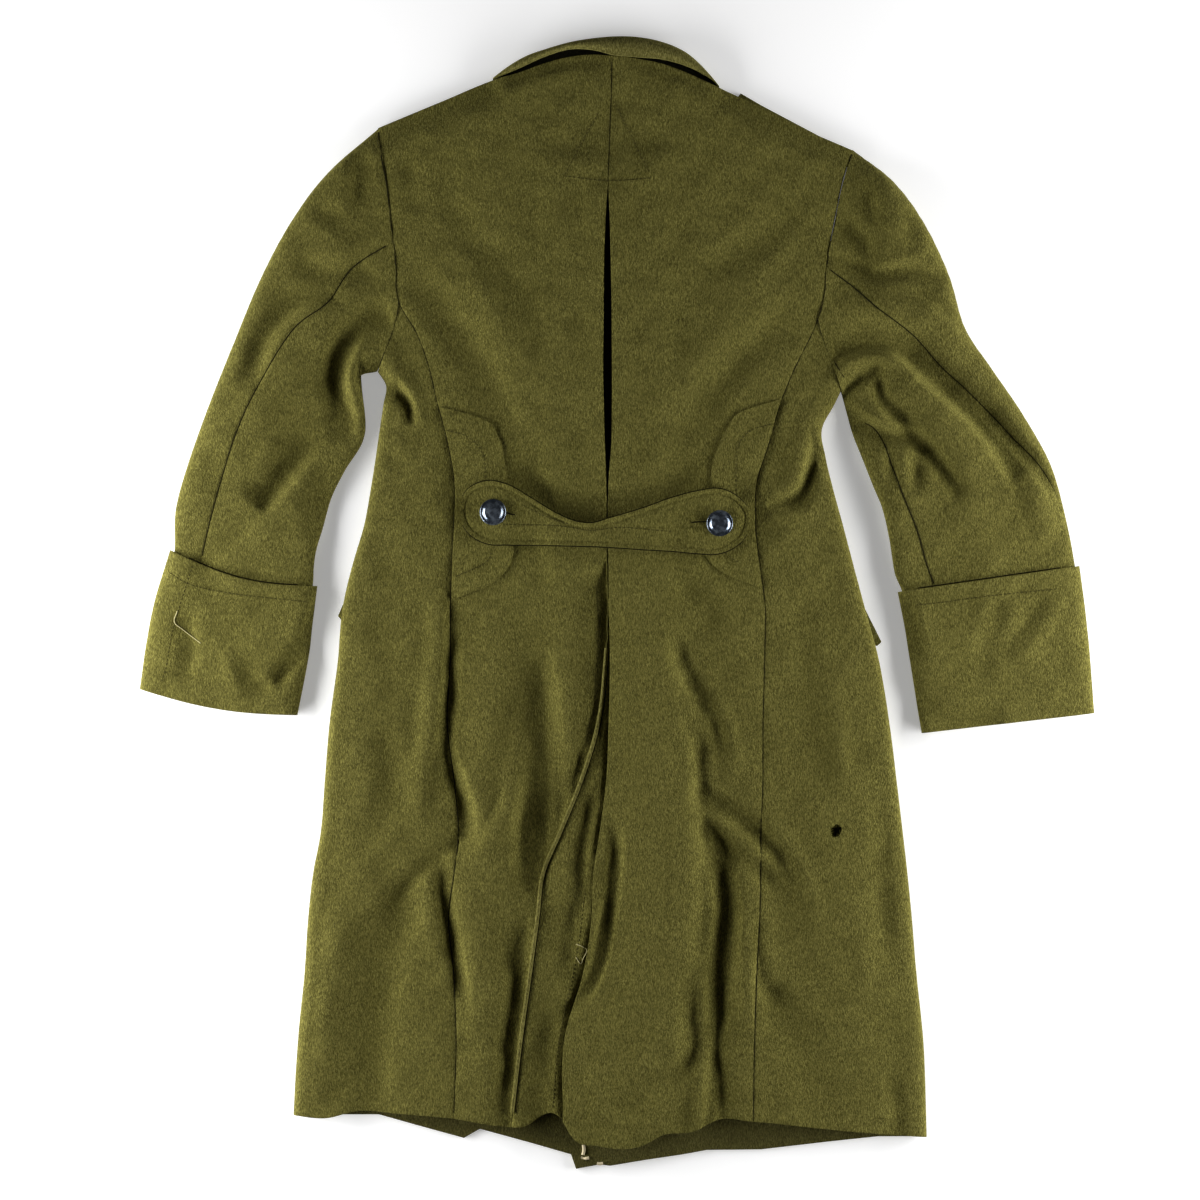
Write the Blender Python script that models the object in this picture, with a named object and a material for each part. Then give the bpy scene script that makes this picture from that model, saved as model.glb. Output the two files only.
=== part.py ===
"""Military greatcoat laid face down and flat, its back and half belt upwards.

Metres, +Z up, the floor at z = 0. X runs to the right across the coat and Y from hem to collar.
Every panel is a cloth wall: an outer sheet and an inner sheet one cloth thickness behind it.
"""
import math
from collections import namedtuple

import bmesh
import bpy
import numpy as np

# Cloth and the way its layers lie on each other
CLOTH = 0.003
SEAM_GAP = 0.0003
LAYER = CLOTH + SEAM_GAP
LAYER_EASE = 0.0002
FLAT_TOP = 2 * LAYER + CLOTH
SHOULDER_TOP = LAYER + CLOTH + LAYER_EASE
SHOULDER_SLOPE = 0.030
ARMHOLE_GAP = 0.0006
CURVED_SEAM_GAP = 0.0009
RESTING_GAP = 0.0006

# Heights that the backs gain over the pleat insert, the slit's lips and the vent underlap
PLEAT_RISE = LAYER + LAYER_EASE
PLEAT_HALF_WIDTH = 0.050
INSERT_HALF_WIDTH = 0.038
SLIT_LIP_RISE = 0.0034
SLIT_LIP_HALF_WIDTH = 0.030
VENT_LAP = 0.045
VENT_EDGE_MARGIN = 0.003
VENT_LAP_MARGIN = 0.004
RISE_FADE = 0.025

# Places on the centre back, from neck to hem
SLIT_TOP = 0.421
SLIT_END = 0.114
INSERT_TOP = 0.412
INSERT_END = 0.064
UNDERLAP_TOP = 0.060
UNDERLAP_HEM_CORNER = -0.056
HEM_LINE = -0.520
HEM_FADE = 0.085

# Heights where the armholes and seams begin
CENTRE_NECK = 0.5456
NECK_LEFT = -0.110
NECK_RIGHT = 0.090
NECK_FADE = 0.020
CENTRE_ROW_RISE = 0.030
LEFT_SHOULDER = 0.474
RIGHT_SHOULDER = 0.452
LEFT_SEAM_START = 0.3005
RIGHT_SEAM_START = 0.2840
LEFT_UNDERARM = 0.231
RIGHT_UNDERARM = 0.217

# Rolled edges, each at most a share of its panel's or tube's width
SIDE_ROLL = 0.014
ROLL_LIMIT = 0.45
TUBE_ROLL_LIMIT = 0.30
ROLL_INSIDE = 0.0002
COLLAR_ROLL = 0.009
COLLAR_CREST = 0.0135
COLLAR_END_TOP = 2 * CLOTH + 0.0012
COLLAR_RISE_RATE = 1.4
COLLAR_UNDER_RUN = 0.036
COLLAR_UNDER_LEAST = 0.004
UNDERARM_SHARE = 0.16
UNDER_STRIP = 0.010
UNDER_STRIP_FADE = 0.024

# Grid sizes, in cells
ARMHOLE_ROWS = 8
SIDE_ROWS = 30
BACK_ROWS = ARMHOLE_ROWS + SIDE_ROWS
BACK_COLUMNS = 9
SIDE_COLUMNS = 6
ROLL_CELLS = 4
UNDER_CELLS = 2
SIDE_CELLS = SIDE_COLUMNS + ROLL_CELLS + UNDER_CELLS
INSERT_COLUMNS = 2
INSERT_ROWS = 14
UNDERLAP_COLUMNS = 4
UNDERLAP_ROWS = 24
SLEEVE_ROWS = 15
SLEEVE_COLUMNS = 14
CUFF_ROWS = 4
CUFF_STEPS = 28
COLLAR_COLUMNS = 20
COLLAR_TOP_COLUMNS = 3
COLLAR_CELLS = COLLAR_TOP_COLUMNS + ROLL_CELLS + UNDER_CELLS
BELT_COLUMNS = 26
BELT_ROWS = 4
PATCH_ROWS = 10
PATCH_COLUMNS = 4
MERGE_DISTANCE = 1e-6

# Walls of smaller pieces
BELT_THICKNESS = 0.0045
PATCH_THICKNESS = 0.002
PATCH_SEAM_INSET = 0.001

# Buttons: half of a button's section, as shares of its radius and height
BUTTON_RADIUS = 0.0132
BUTTON_HEIGHT = 0.007
BUTTON_STEPS = 14
ProfilePoint = namedtuple("ProfilePoint", "reach rise")
BUTTON_PROFILE = (
    ProfilePoint(0.00, 0.00),
    ProfilePoint(0.82, 0.00),
    ProfilePoint(1.00, 0.20),
    ProfilePoint(1.00, 0.36),
    ProfilePoint(0.93, 0.48),
    ProfilePoint(0.84, 0.44),
    ProfilePoint(0.62, 0.74),
    ProfilePoint(0.34, 0.94),
    ProfilePoint(0.00, 1.00),
)

# Finishes
Finish = namedtuple("Finish", "colour roughness metallic")
WOOL = Finish((0.118, 0.105, 0.034, 1.0), 0.95, 0.0)
BUTTON_METAL = Finish((0.012, 0.014, 0.022, 1.0), 0.35, 0.9)
SHARP_ANGLE = math.radians(50)

# Edges of the two back panels: armholes above the side-back seams, slit and vent edges at the centre
BackRow = namedtuple("BackRow", "y outer_left centre_left centre_right outer_right")
BACK_EDGES = (
    BackRow(0.5460, -0.2430, -0.0050, -0.0046, 0.2520),
    BackRow(0.4800, -0.2392, -0.0070, -0.0066, 0.2430),
    BackRow(0.4500, -0.2360, -0.0081, -0.0077, 0.2347),
    BackRow(0.4170, -0.2300, -0.0094, -0.0086, 0.2252),
    BackRow(0.3810, -0.2260, -0.0116, -0.0072, 0.2178),
    BackRow(0.3400, -0.2212, -0.0130, -0.0062, 0.2098),
    BackRow(0.3010, -0.2183, -0.0133, -0.0055, 0.2060),
    BackRow(0.2700, -0.2004, -0.0135, -0.0052, 0.1950),
    BackRow(0.2400, -0.1890, -0.0140, -0.0050, 0.1800),
    BackRow(0.2000, -0.1795, -0.0133, -0.0050, 0.1634),
    BackRow(0.1600, -0.1690, -0.0123, -0.0056, 0.1520),
    BackRow(0.1200, -0.1625, -0.0108, -0.0085, 0.1395),
    BackRow(0.0800, -0.1630, -0.0117, -0.0090, 0.1380),
    BackRow(0.0400, -0.1650, -0.0135, -0.0085, 0.1420),
    BackRow(0.0000, -0.1660, -0.0160, -0.0080, 0.1475),
    BackRow(-0.0600, -0.1665, -0.0190, -0.0070, 0.1470),
    BackRow(-0.1200, -0.1695, -0.0190, -0.0083, 0.1455),
    BackRow(-0.1800, -0.1623, -0.0370, -0.0110, 0.1453),
    BackRow(-0.2300, -0.1582, -0.0575, -0.0175, 0.1435),
    BackRow(-0.2700, -0.1625, -0.0740, -0.0235, 0.1434),
    BackRow(-0.3100, -0.1680, -0.0790, -0.0250, 0.1423),
    BackRow(-0.3700, -0.1630, -0.0870, -0.0340, 0.1393),
    BackRow(-0.4300, -0.1605, -0.0955, -0.0515, 0.1372),
    BackRow(-0.5200, -0.1630, -0.1060, -0.0540, 0.1357),
)

# Outlines of the body's sides, below the underarms
SideRow = namedtuple("SideRow", "y left right")
SIDE_EDGES = (
    SideRow(0.2310, -0.2390, 0.2300),
    SideRow(0.2180, -0.2310, 0.2262),
    SideRow(0.2000, -0.2330, 0.2180),
    SideRow(0.1730, -0.2370, 0.2045),
    SideRow(0.1450, -0.2410, 0.2085),
    SideRow(0.1130, -0.2460, 0.2160),
    SideRow(0.0800, -0.2520, 0.2250),
    SideRow(0.0400, -0.2635, 0.2355),
    SideRow(0.0000, -0.2730, 0.2460),
    SideRow(-0.0600, -0.2790, 0.2620),
    SideRow(-0.1200, -0.2870, 0.2720),
    SideRow(-0.1800, -0.2920, 0.2795),
    SideRow(-0.2300, -0.2960, 0.2855),
    SideRow(-0.2700, -0.3035, 0.2900),
    SideRow(-0.3100, -0.3080, 0.2940),
    SideRow(-0.3700, -0.3120, 0.2990),
    SideRow(-0.4300, -0.3180, 0.3053),
    SideRow(-0.5400, -0.3240, 0.3100),
)

# Shoulder and neck edge of the backs, from the left sleeve head to the right one
EdgeRow = namedtuple("EdgeRow", "x y")
TOP_EDGE = (
    EdgeRow(-0.2390, 0.4740),
    EdgeRow(-0.1740, 0.5010),
    EdgeRow(-0.1230, 0.5220),
    EdgeRow(-0.0960, 0.5300),
    EdgeRow(-0.0710, 0.5390),
    EdgeRow(-0.0460, 0.5450),
    EdgeRow(-0.0210, 0.5470),
    EdgeRow(-0.0040, 0.5456),
    EdgeRow(0.0200, 0.5430),
    EdgeRow(0.0450, 0.5380),
    EdgeRow(0.0670, 0.5300),
    EdgeRow(0.0870, 0.5210),
    EdgeRow(0.1020, 0.5143),
    EdgeRow(0.1470, 0.4930),
    EdgeRow(0.1890, 0.4720),
    EdgeRow(0.2350, 0.4520),
)

# Hem of the backs and of the side runs of the fronts, on the upper layer
UPPER_HEM = (
    EdgeRow(-0.3240, -0.5110),
    EdgeRow(-0.2890, -0.5135),
    EdgeRow(-0.2610, -0.5070),
    EdgeRow(-0.2220, -0.5090),
    EdgeRow(-0.1650, -0.5140),
    EdgeRow(-0.0960, -0.5230),
    EdgeRow(-0.0540, -0.5165),
    EdgeRow(-0.0470, -0.5290),
    EdgeRow(-0.0170, -0.5410),
    EdgeRow(0.0290, -0.5390),
    EdgeRow(0.0430, -0.5310),
    EdgeRow(0.0750, -0.5270),
    EdgeRow(0.1020, -0.5150),
    EdgeRow(0.1355, -0.5170),
    EdgeRow(0.2130, -0.5250),
    EdgeRow(0.3100, -0.5330),
)

# Hem of the fronts' undersides, which hang lower than the backs
LOWER_HEM_LEFT = (
    EdgeRow(-0.2380, -0.5110),
    EdgeRow(-0.1990, -0.5220),
    EdgeRow(-0.1530, -0.5346),
    EdgeRow(-0.1370, -0.5255),
    EdgeRow(-0.0840, -0.5400),
    EdgeRow(-0.0460, -0.5510),
    EdgeRow(-0.0410, -0.5655),
    EdgeRow(-0.0220, -0.5620),
)
LOWER_HEM_RIGHT = (
    EdgeRow(-0.0210, -0.5600),
    EdgeRow(-0.0070, -0.5620),
    EdgeRow(0.0290, -0.5560),
    EdgeRow(0.0630, -0.5510),
    EdgeRow(0.0910, -0.5465),
    EdgeRow(0.1440, -0.5460),
    EdgeRow(0.2130, -0.5380),
)

# Undersides of the fronts: the left one lies on the floor, the right one laps over it
LEFT_FRONT_EDGE = 0.060
RIGHT_FRONT_EDGE = -0.060
LAP_RAMP_START = 0.065
LAP_RAMP_END = 0.090
LAP_FADE = 0.012
RAMP_HEM_MARGIN = 0.010
LEFT_ARMHOLE_TOP = 0.425
RIGHT_ARMHOLE_TOP = 0.400
LEFT_FRONT_NECK = (
    EdgeRow(-0.1150, 0.4850),
    EdgeRow(-0.0800, 0.4700),
    EdgeRow(-0.0300, 0.4450),
    EdgeRow(LEFT_FRONT_EDGE, 0.4250),
)
LEFT_FRONT_HEM_CORNER = EdgeRow(LEFT_FRONT_EDGE, -0.545)
RIGHT_FRONT_NECK = (
    EdgeRow(LAP_RAMP_END, 0.4720),
    EdgeRow(LAP_RAMP_START, 0.4500),
    EdgeRow(0.0300, 0.4280),
    EdgeRow(RIGHT_FRONT_EDGE, 0.4300),
)
RIGHT_FRONT_HEM_CORNER = EdgeRow(-0.036, -0.552)
UNDERSIDE_ARMHOLE_START = 0.012
UNDERSIDE_ARMHOLE_STEPS = 7
UNDERSIDE_INSET = 0.0032
STRAP_CLEARANCE = 0.0012

# Hole worn through the right front's side run
HOLE_CENTRE = (0.2183, -0.2270)
HOLE_RADIUS = 0.0058
HOLE_STRETCH = 1.12
HOLE_SIDES = 10
HOLE_CUTTER_FLOOR = CLOTH + 0.001
HOLE_CUTTER_DEPTH = 0.020

# Sleeve sections, armhole to cuff: outer and inner fold, back and front seam as shares of the way round
# (0 is the outer fold, 1 the inner fold, 1 to 2 the underside back to the outer fold)
SleeveRow = namedtuple("SleeveRow", "outer_x outer_y inner_x inner_y back_seam front_seam")
LEFT_SLEEVE = (
    SleeveRow(-0.239, 0.474, -0.240, 0.231, 0.47, 1.50),
    SleeveRow(-0.290, 0.428, -0.258, 0.224, 0.46, 1.50),
    SleeveRow(-0.325, 0.381, -0.252, 0.192, 0.44, 1.50),
    SleeveRow(-0.355, 0.325, -0.253, 0.163, 0.33, 1.50),
    SleeveRow(-0.383, 0.258, -0.272, 0.131, 0.27, 1.50),
    SleeveRow(-0.405, 0.203, -0.285, 0.105, 0.24, 1.50),
    SleeveRow(-0.426, 0.145, -0.293, 0.077, 0.24, 1.50),
    SleeveRow(-0.440, 0.095, -0.301, 0.048, 0.24, 1.50),
    SleeveRow(-0.4415, 0.053, -0.3035, 0.018, 0.18, 1.50),
    SleeveRow(-0.4470, 0.026, -0.3080, -0.010, 0.15, 1.50),
)
RIGHT_SLEEVE = (
    SleeveRow(0.235, 0.453, 0.2310, 0.2180, 0.50, 1.40),
    SleeveRow(0.275, 0.421, 0.227, 0.203, 0.48, 1.22),
    SleeveRow(0.305, 0.381, 0.231, 0.184, 0.46, 1.04),
    SleeveRow(0.331, 0.328, 0.236, 0.166, 0.38, 0.90),
    SleeveRow(0.347, 0.275, 0.244, 0.146, 0.27, 0.83),
    SleeveRow(0.373, 0.235, 0.255, 0.118, 0.20, 0.84),
    SleeveRow(0.405, 0.188, 0.265, 0.093, 0.14, 0.855),
    SleeveRow(0.433, 0.137, 0.272, 0.062, 0.08, 0.83),
    SleeveRow(0.448, 0.083, 0.277, 0.030, 0.03, 0.81),
    SleeveRow(0.457, 0.037, 0.2845, 0.011, 0.02, 0.81),
    SleeveRow(0.4600, 0.010, 0.2900, -0.017, 0.02, 0.81),
)
ROLL_SHARE = 0.12
ARMHOLE_BLEND = 0.34
ARMHOLE_CURVE = 1.5
CUFF_LIFT_START = 0.68
CUFF_LIFT_END = 0.84
CUFF_LIFT = LAYER + SEAM_GAP
CUFF_CLEARANCE = 0.0006
CUFF_COVER_END = 0.32
CUFF_MOUTH_START = 0.85
SLEEVE_INSIDE = 0.001
SEAM_SHARE = SEAM_GAP / 0.30

# Cuff sections, sleeve seam to open end, with the sag of each section's middle
CuffRow = namedtuple("CuffRow", "outer_x outer_y inner_x inner_y sag")
LEFT_CUFF = (
    CuffRow(-0.446, 0.053, -0.299, 0.017, 0.011),
    CuffRow(-0.461, 0.004, -0.304, -0.022, 0.010),
    CuffRow(-0.470, -0.040, -0.308, -0.055, 0.009),
    CuffRow(-0.4765, -0.086, -0.319, -0.112, 0.007),
)
RIGHT_CUFF = (
    CuffRow(0.4615, 0.037, 0.280, 0.011, 0.0),
    CuffRow(0.4665, 0.000, 0.287, -0.024, 0.0),
    CuffRow(0.4715, -0.045, 0.2935, -0.065, 0.0),
    CuffRow(0.4765, -0.110, 0.304, -0.130, 0.0),
)

# Outline of the rolled collar
COLLAR = (
    EdgeRow(-0.1240, 0.5245),
    EdgeRow(-0.1070, 0.5370),
    EdgeRow(-0.0910, 0.5460),
    EdgeRow(-0.0710, 0.5530),
    EdgeRow(-0.0460, 0.5600),
    EdgeRow(-0.0210, 0.5640),
    EdgeRow(-0.0040, 0.5655),
    EdgeRow(0.0200, 0.5650),
    EdgeRow(0.0420, 0.5610),
    EdgeRow(0.0590, 0.5550),
    EdgeRow(0.0700, 0.5490),
    EdgeRow(0.0840, 0.5370),
    EdgeRow(0.0950, 0.5250),
    EdgeRow(0.1020, 0.5165),
)

# Half belt: its lower and upper edge along the waist
BeltRow = namedtuple("BeltRow", "x low high")
BELT = (
    BeltRow(-0.1555, 0.0840, 0.1000),
    BeltRow(-0.1510, 0.0735, 0.1105),
    BeltRow(-0.1430, 0.0655, 0.1170),
    BeltRow(-0.1300, 0.0595, 0.1213),
    BeltRow(-0.1100, 0.0583, 0.1180),
    BeltRow(-0.0850, 0.0580, 0.1040),
    BeltRow(-0.0620, 0.0576, 0.0900),
    BeltRow(-0.0390, 0.0570, 0.0805),
    BeltRow(-0.0280, 0.0568, 0.0792),
    BeltRow(-0.0050, 0.0556, 0.0850),
    BeltRow(0.0290, 0.0534, 0.0954),
    BeltRow(0.0540, 0.0520, 0.1045),
    BeltRow(0.0840, 0.0494, 0.1120),
    BeltRow(0.0980, 0.0490, 0.1138),
    BeltRow(0.1120, 0.0530, 0.1105),
    BeltRow(0.1220, 0.0595, 0.1040),
    BeltRow(0.1290, 0.0690, 0.0960),
    BeltRow(0.1315, 0.0790, 0.0900),
)
BELT_MIDDLE = -0.012
BELT_BUCKLE = 0.007
BELT_BUCKLE_REACH = 0.070
BELT_PATCH_START = 0.35
BELT_PATCH_RATE = 1.5
BELT_END_CROWDING = 0.5
BUTTON_LEFT = (-0.1235, 0.0905)
BUTTON_RIGHT = (0.1022, 0.0795)

# Waist patches: D shapes against the side-back seams, from their upper to their lower end
PatchRow = namedtuple("PatchRow", "y reach")
LEFT_PATCH = (
    PatchRow(0.1945, 0.0050),
    PatchRow(0.1850, 0.0380),
    PatchRow(0.1660, 0.0520),
    PatchRow(0.1400, 0.0530),
    PatchRow(0.1000, 0.0550),
    PatchRow(0.0600, 0.0620),
    PatchRow(0.0380, 0.0580),
    PatchRow(0.0190, 0.0400),
    PatchRow(0.0045, 0.0050),
)
RIGHT_PATCH = (
    PatchRow(0.2020, 0.0050),
    PatchRow(0.1920, 0.0340),
    PatchRow(0.1740, 0.0460),
    PatchRow(0.1450, 0.0500),
    PatchRow(0.1000, 0.0420),
    PatchRow(0.0480, 0.0530),
    PatchRow(0.0370, 0.0460),
    PatchRow(0.0260, 0.0300),
    PatchRow(0.0160, 0.0050),
)

# Outlines of the flat tabs that lie under the fronts' edges
STRAP_RIGHT = (
    EdgeRow(0.1190, 0.5030),
    EdgeRow(0.1235, 0.5095),
    EdgeRow(0.1440, 0.4975),
    EdgeRow(0.2250, 0.4545),
    EdgeRow(0.2080, 0.4180),
    EdgeRow(0.1010, 0.4680),
)
STRAP_LEFT = (
    EdgeRow(-0.1400, 0.5140),
    EdgeRow(-0.2280, 0.4765),
    EdgeRow(-0.2140, 0.4400),
    EdgeRow(-0.1250, 0.4760),
)
FLAP_LEFT = (
    EdgeRow(-0.2660, 0.0170),
    EdgeRow(-0.2790, -0.0130),
    EdgeRow(-0.2740, -0.0190),
    EdgeRow(-0.2610, -0.0170),
    EdgeRow(-0.2540, 0.0150),
)
FLAP_RIGHT = (
    EdgeRow(0.2420, 0.0060),
    EdgeRow(0.2645, -0.0390),
    EdgeRow(0.2600, -0.0430),
    EdgeRow(0.2450, -0.0400),
    EdgeRow(0.2310, 0.0030),
)
FLAP_THICKNESS = 0.0026
FLAP_LIFT = 0.0033
FLAP_MIDDLE_LEFT = -0.002
FLAP_MIDDLE_RIGHT = -0.020
FLAP_LIFT_REACH = 0.055
FLAP_LIFT_RATE = 1.6

# Folds of the upper cloth: a curve from start past bend to end, its height (troughs are negative) and
# the widths of its two flanks, left and right of the way it runs
Fold = namedtuple("Fold", "start bend end height left right")
FOLDS = (
    # Skirt, ridges from left to right
    Fold((-0.185, 0.020), (-0.197, -0.130), (-0.186, -0.205), 0.0070, 0.022, 0.022),
    Fold((-0.125, -0.005), (-0.132, -0.160), (-0.118, -0.270), 0.0070, 0.040, 0.034),
    Fold((-0.135, -0.240), (-0.131, -0.380), (-0.128, -0.530), 0.0060, 0.034, 0.034),
    Fold((-0.052, 0.035), (-0.044, -0.120), (-0.070, -0.260), 0.0085, 0.026, 0.030),
    Fold((0.026, 0.000), (0.034, -0.260), (0.024, -0.560), 0.0095, 0.058, 0.062),
    Fold((0.122, -0.230), (0.128, -0.350), (0.128, -0.530), 0.0060, 0.020, 0.024),
    Fold((0.214, -0.010), (0.226, -0.250), (0.232, -0.540), 0.0050, 0.055, 0.055),
    Fold((-0.250, -0.030), (-0.262, -0.180), (-0.250, -0.300), 0.0040, 0.030, 0.040),
    # Skirt, troughs
    Fold((-0.170, 0.010), (-0.172, -0.150), (-0.160, -0.235), -0.0040, 0.012, 0.012),
    Fold((-0.168, -0.255), (-0.174, -0.310), (-0.162, -0.365), -0.0040, 0.014, 0.014),
    Fold((-0.078, -0.080), (-0.092, -0.200), (-0.080, -0.275), -0.0040, 0.024, 0.024),
    Fold((-0.215, -0.280), (-0.245, -0.390), (-0.270, -0.500), -0.0030, 0.034, 0.034),
    Fold((0.065, -0.045), (0.080, -0.085), (0.108, -0.140), -0.0045, 0.014, 0.014),
    Fold((0.086, -0.195), (0.130, -0.220), (0.186, -0.284), -0.0045, 0.014, 0.014),
    Fold((0.110, -0.250), (0.108, -0.340), (0.098, -0.440), -0.0045, 0.018, 0.018),
    Fold((-0.003, -0.250), (-0.010, -0.320), (-0.044, -0.410), -0.0070, 0.016, 0.014),
    # Upper back
    Fold((-0.150, 0.340), (-0.110, 0.270), (-0.070, 0.200), 0.0035, 0.040, 0.040),
    Fold((0.150, 0.330), (0.095, 0.270), (0.050, 0.190), 0.0035, 0.040, 0.040),
    Fold((-0.205, 0.310), (-0.165, 0.255), (-0.115, 0.190), -0.0028, 0.030, 0.030),
    Fold((0.185, 0.285), (0.130, 0.235), (0.090, 0.185), -0.0028, 0.030, 0.030),
    Fold((-0.239, 0.236), (-0.218, 0.220), (-0.200, 0.184), 0.0060, 0.014, 0.020),
    Fold((0.225, 0.222), (0.206, 0.196), (0.192, 0.140), 0.0060, 0.020, 0.012),
    # Left sleeve
    Fold((-0.300, 0.420), (-0.290, 0.370), (-0.262, 0.345), 0.0050, 0.040, 0.040),
    Fold((-0.300, 0.300), (-0.372, 0.245), (-0.405, 0.160), 0.0075, 0.036, 0.030),
    Fold((-0.262, 0.330), (-0.325, 0.308), (-0.367, 0.240), -0.0040, 0.016, 0.016),
    Fold((-0.268, 0.250), (-0.282, 0.205), (-0.262, 0.165), 0.0080, 0.014, 0.014),
    Fold((-0.285, 0.178), (-0.310, 0.152), (-0.345, 0.125), -0.0030, 0.018, 0.018),
    Fold((-0.320, 0.120), (-0.360, 0.080), (-0.400, 0.030), 0.0040, 0.045, 0.045),
    # Right sleeve
    Fold((0.250, 0.410), (0.285, 0.380), (0.312, 0.350), 0.0045, 0.036, 0.036),
    Fold((0.222, 0.300), (0.290, 0.300), (0.350, 0.255), 0.0065, 0.024, 0.028),
    Fold((0.232, 0.336), (0.275, 0.326), (0.318, 0.327), -0.0045, 0.013, 0.013),
    Fold((0.244, 0.236), (0.310, 0.235), (0.360, 0.130), 0.0085, 0.022, 0.026),
    Fold((0.286, 0.262), (0.350, 0.210), (0.425, 0.105), -0.0035, 0.016, 0.016),
    Fold((0.236, 0.196), (0.262, 0.186), (0.290, 0.160), 0.0060, 0.014, 0.014),
    Fold((0.330, 0.100), (0.370, 0.050), (0.395, 0.010), 0.0040, 0.050, 0.050),
    # Pocket flaps lifting the sides
    Fold((-0.250, 0.050), (-0.256, 0.000), (-0.262, -0.050), 0.0035, 0.026, 0.026),
    Fold((0.226, 0.030), (0.238, -0.020), (0.248, -0.070), 0.0035, 0.026, 0.026),
)
FOLD_STEPS = 14


# Curves

def smooth(rows, key, value):
    """A smooth curve through a table's rows: a function giving column `value` at any `key`."""
    pairs = sorted((getattr(row, key), getattr(row, value)) for row in rows)
    keys = np.array([pair[0] for pair in pairs])
    values = np.array([pair[1] for pair in pairs])
    slopes = np.gradient(values, keys)

    def curve(at):
        at = np.clip(np.asarray(at, dtype=float), keys[0], keys[-1])
        cell = np.clip(np.searchsorted(keys, at) - 1, 0, len(keys) - 2)
        width = keys[cell + 1] - keys[cell]
        t = (at - keys[cell]) / width
        start = (1 + 2 * t) * (1 - t) ** 2 * values[cell] + t * (1 - t) ** 2 * width * slopes[cell]
        end = t * t * (3 - 2 * t) * values[cell + 1] + t * t * (t - 1) * width * slopes[cell + 1]
        return start + end

    return curve


def along(rows, column):
    """A smooth curve through a table's column, from 0 at its first row to 1 at its last."""
    Station = namedtuple("Station", "share value")
    last = len(rows) - 1
    stations = [Station(place / last, getattr(row, column)) for place, row in enumerate(rows)]
    return smooth(stations, "share", "value")


def mix(first, second, share):
    return first + (second - first) * share


def ease(share):
    """0 below 0, 1 above 1, and a soft step between."""
    share = np.clip(share, 0.0, 1.0)
    return share * share * (3 - 2 * share)


def plateau(at, low, high, fade):
    """1 between low and high, falling softly to 0 over fade outside them."""
    return ease((at - low + fade) / fade) * ease((high + fade - at) / fade)


outer_left = smooth(BACK_EDGES, "y", "outer_left")
outer_right = smooth(BACK_EDGES, "y", "outer_right")
centre_left = smooth(BACK_EDGES, "y", "centre_left")
centre_right = smooth(BACK_EDGES, "y", "centre_right")
side_left = smooth(SIDE_EDGES, "y", "left")
side_right = smooth(SIDE_EDGES, "y", "right")
top_edge = smooth(TOP_EDGE, "x", "y")
upper_hem = smooth(UPPER_HEM, "x", "y")
collar_outline = smooth(COLLAR, "x", "y")
belt_low = smooth(BELT, "x", "low")
belt_high = smooth(BELT, "x", "high")


# Height of the upper cloth

def fold_height(fold, x, y):
    """Height that one fold adds at each place: a soft ridge or trough along a bent line."""
    start = np.array(fold.start)
    bend = np.array(fold.bend)
    end = np.array(fold.end)
    nearest = np.full(x.shape, np.inf)
    height = np.zeros(x.shape)
    for step in range(FOLD_STEPS):
        low = step / FOLD_STEPS
        high = (step + 1) / FOLD_STEPS
        first = (1 - low) ** 2 * start + 2 * low * (1 - low) * bend + low ** 2 * end
        last = (1 - high) ** 2 * start + 2 * high * (1 - high) * bend + high ** 2 * end
        run = last - first
        length = np.hypot(*run)
        share = np.clip(((x - first[0]) * run[0] + (y - first[1]) * run[1]) / length ** 2, 0.0, 1.0)
        gap_x = x - first[0] - share * run[0]
        gap_y = y - first[1] - share * run[1]
        distance = np.hypot(gap_x, gap_y)
        left_of_run = run[0] * gap_y - run[1] * gap_x > 0
        width = np.where(left_of_run, fold.left, fold.right)
        across = np.clip(distance / width, 0.0, 1.0)
        place = low + share * (high - low)
        strength = np.sqrt(np.clip(4 * place * (1 - place), 0.0, 1.0))
        closer = distance < nearest
        height = np.where(closer, fold.height * strength * (1 - across ** 2) ** 2, height)
        nearest = np.minimum(nearest, distance)
    return height


def centre_rise(x, y):
    """Lift of the backs over the pleat insert, the slit's lips and the vent underlap."""
    middle = 0.5 * (centre_left(y) + centre_right(y))
    over_insert = plateau(y, INSERT_END - RISE_FADE, INSERT_TOP + RISE_FADE, RISE_FADE)
    over_insert = over_insert * plateau(x - middle, -PLEAT_HALF_WIDTH, PLEAT_HALF_WIDTH, RISE_FADE)
    lips = plateau(y, SLIT_END + RISE_FADE, SLIT_TOP - RISE_FADE, 2 * RISE_FADE)
    lips = lips * ease(1 - np.abs(x - middle) / SLIT_LIP_HALF_WIDTH)
    right_of_vent = x - centre_right(y)
    over_underlap = ease((UNDERLAP_TOP + RISE_FADE - y) / RISE_FADE)
    over_underlap = over_underlap * plateau(
        right_of_vent, -VENT_EDGE_MARGIN, VENT_LAP + VENT_LAP_MARGIN, RISE_FADE)
    on_the_right = x > middle
    return PLEAT_RISE * np.maximum(over_insert, over_underlap * on_the_right) + SLIT_LIP_RISE * lips


def lowest_top(x, y):
    """Lowest that the upper cloth's top may lie, on the layers under it."""
    over_lap = plateau(x, RIGHT_FRONT_EDGE, LAP_RAMP_END, LAP_FADE)
    return SHOULDER_TOP + LAYER * over_lap + centre_rise(x, y)


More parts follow.
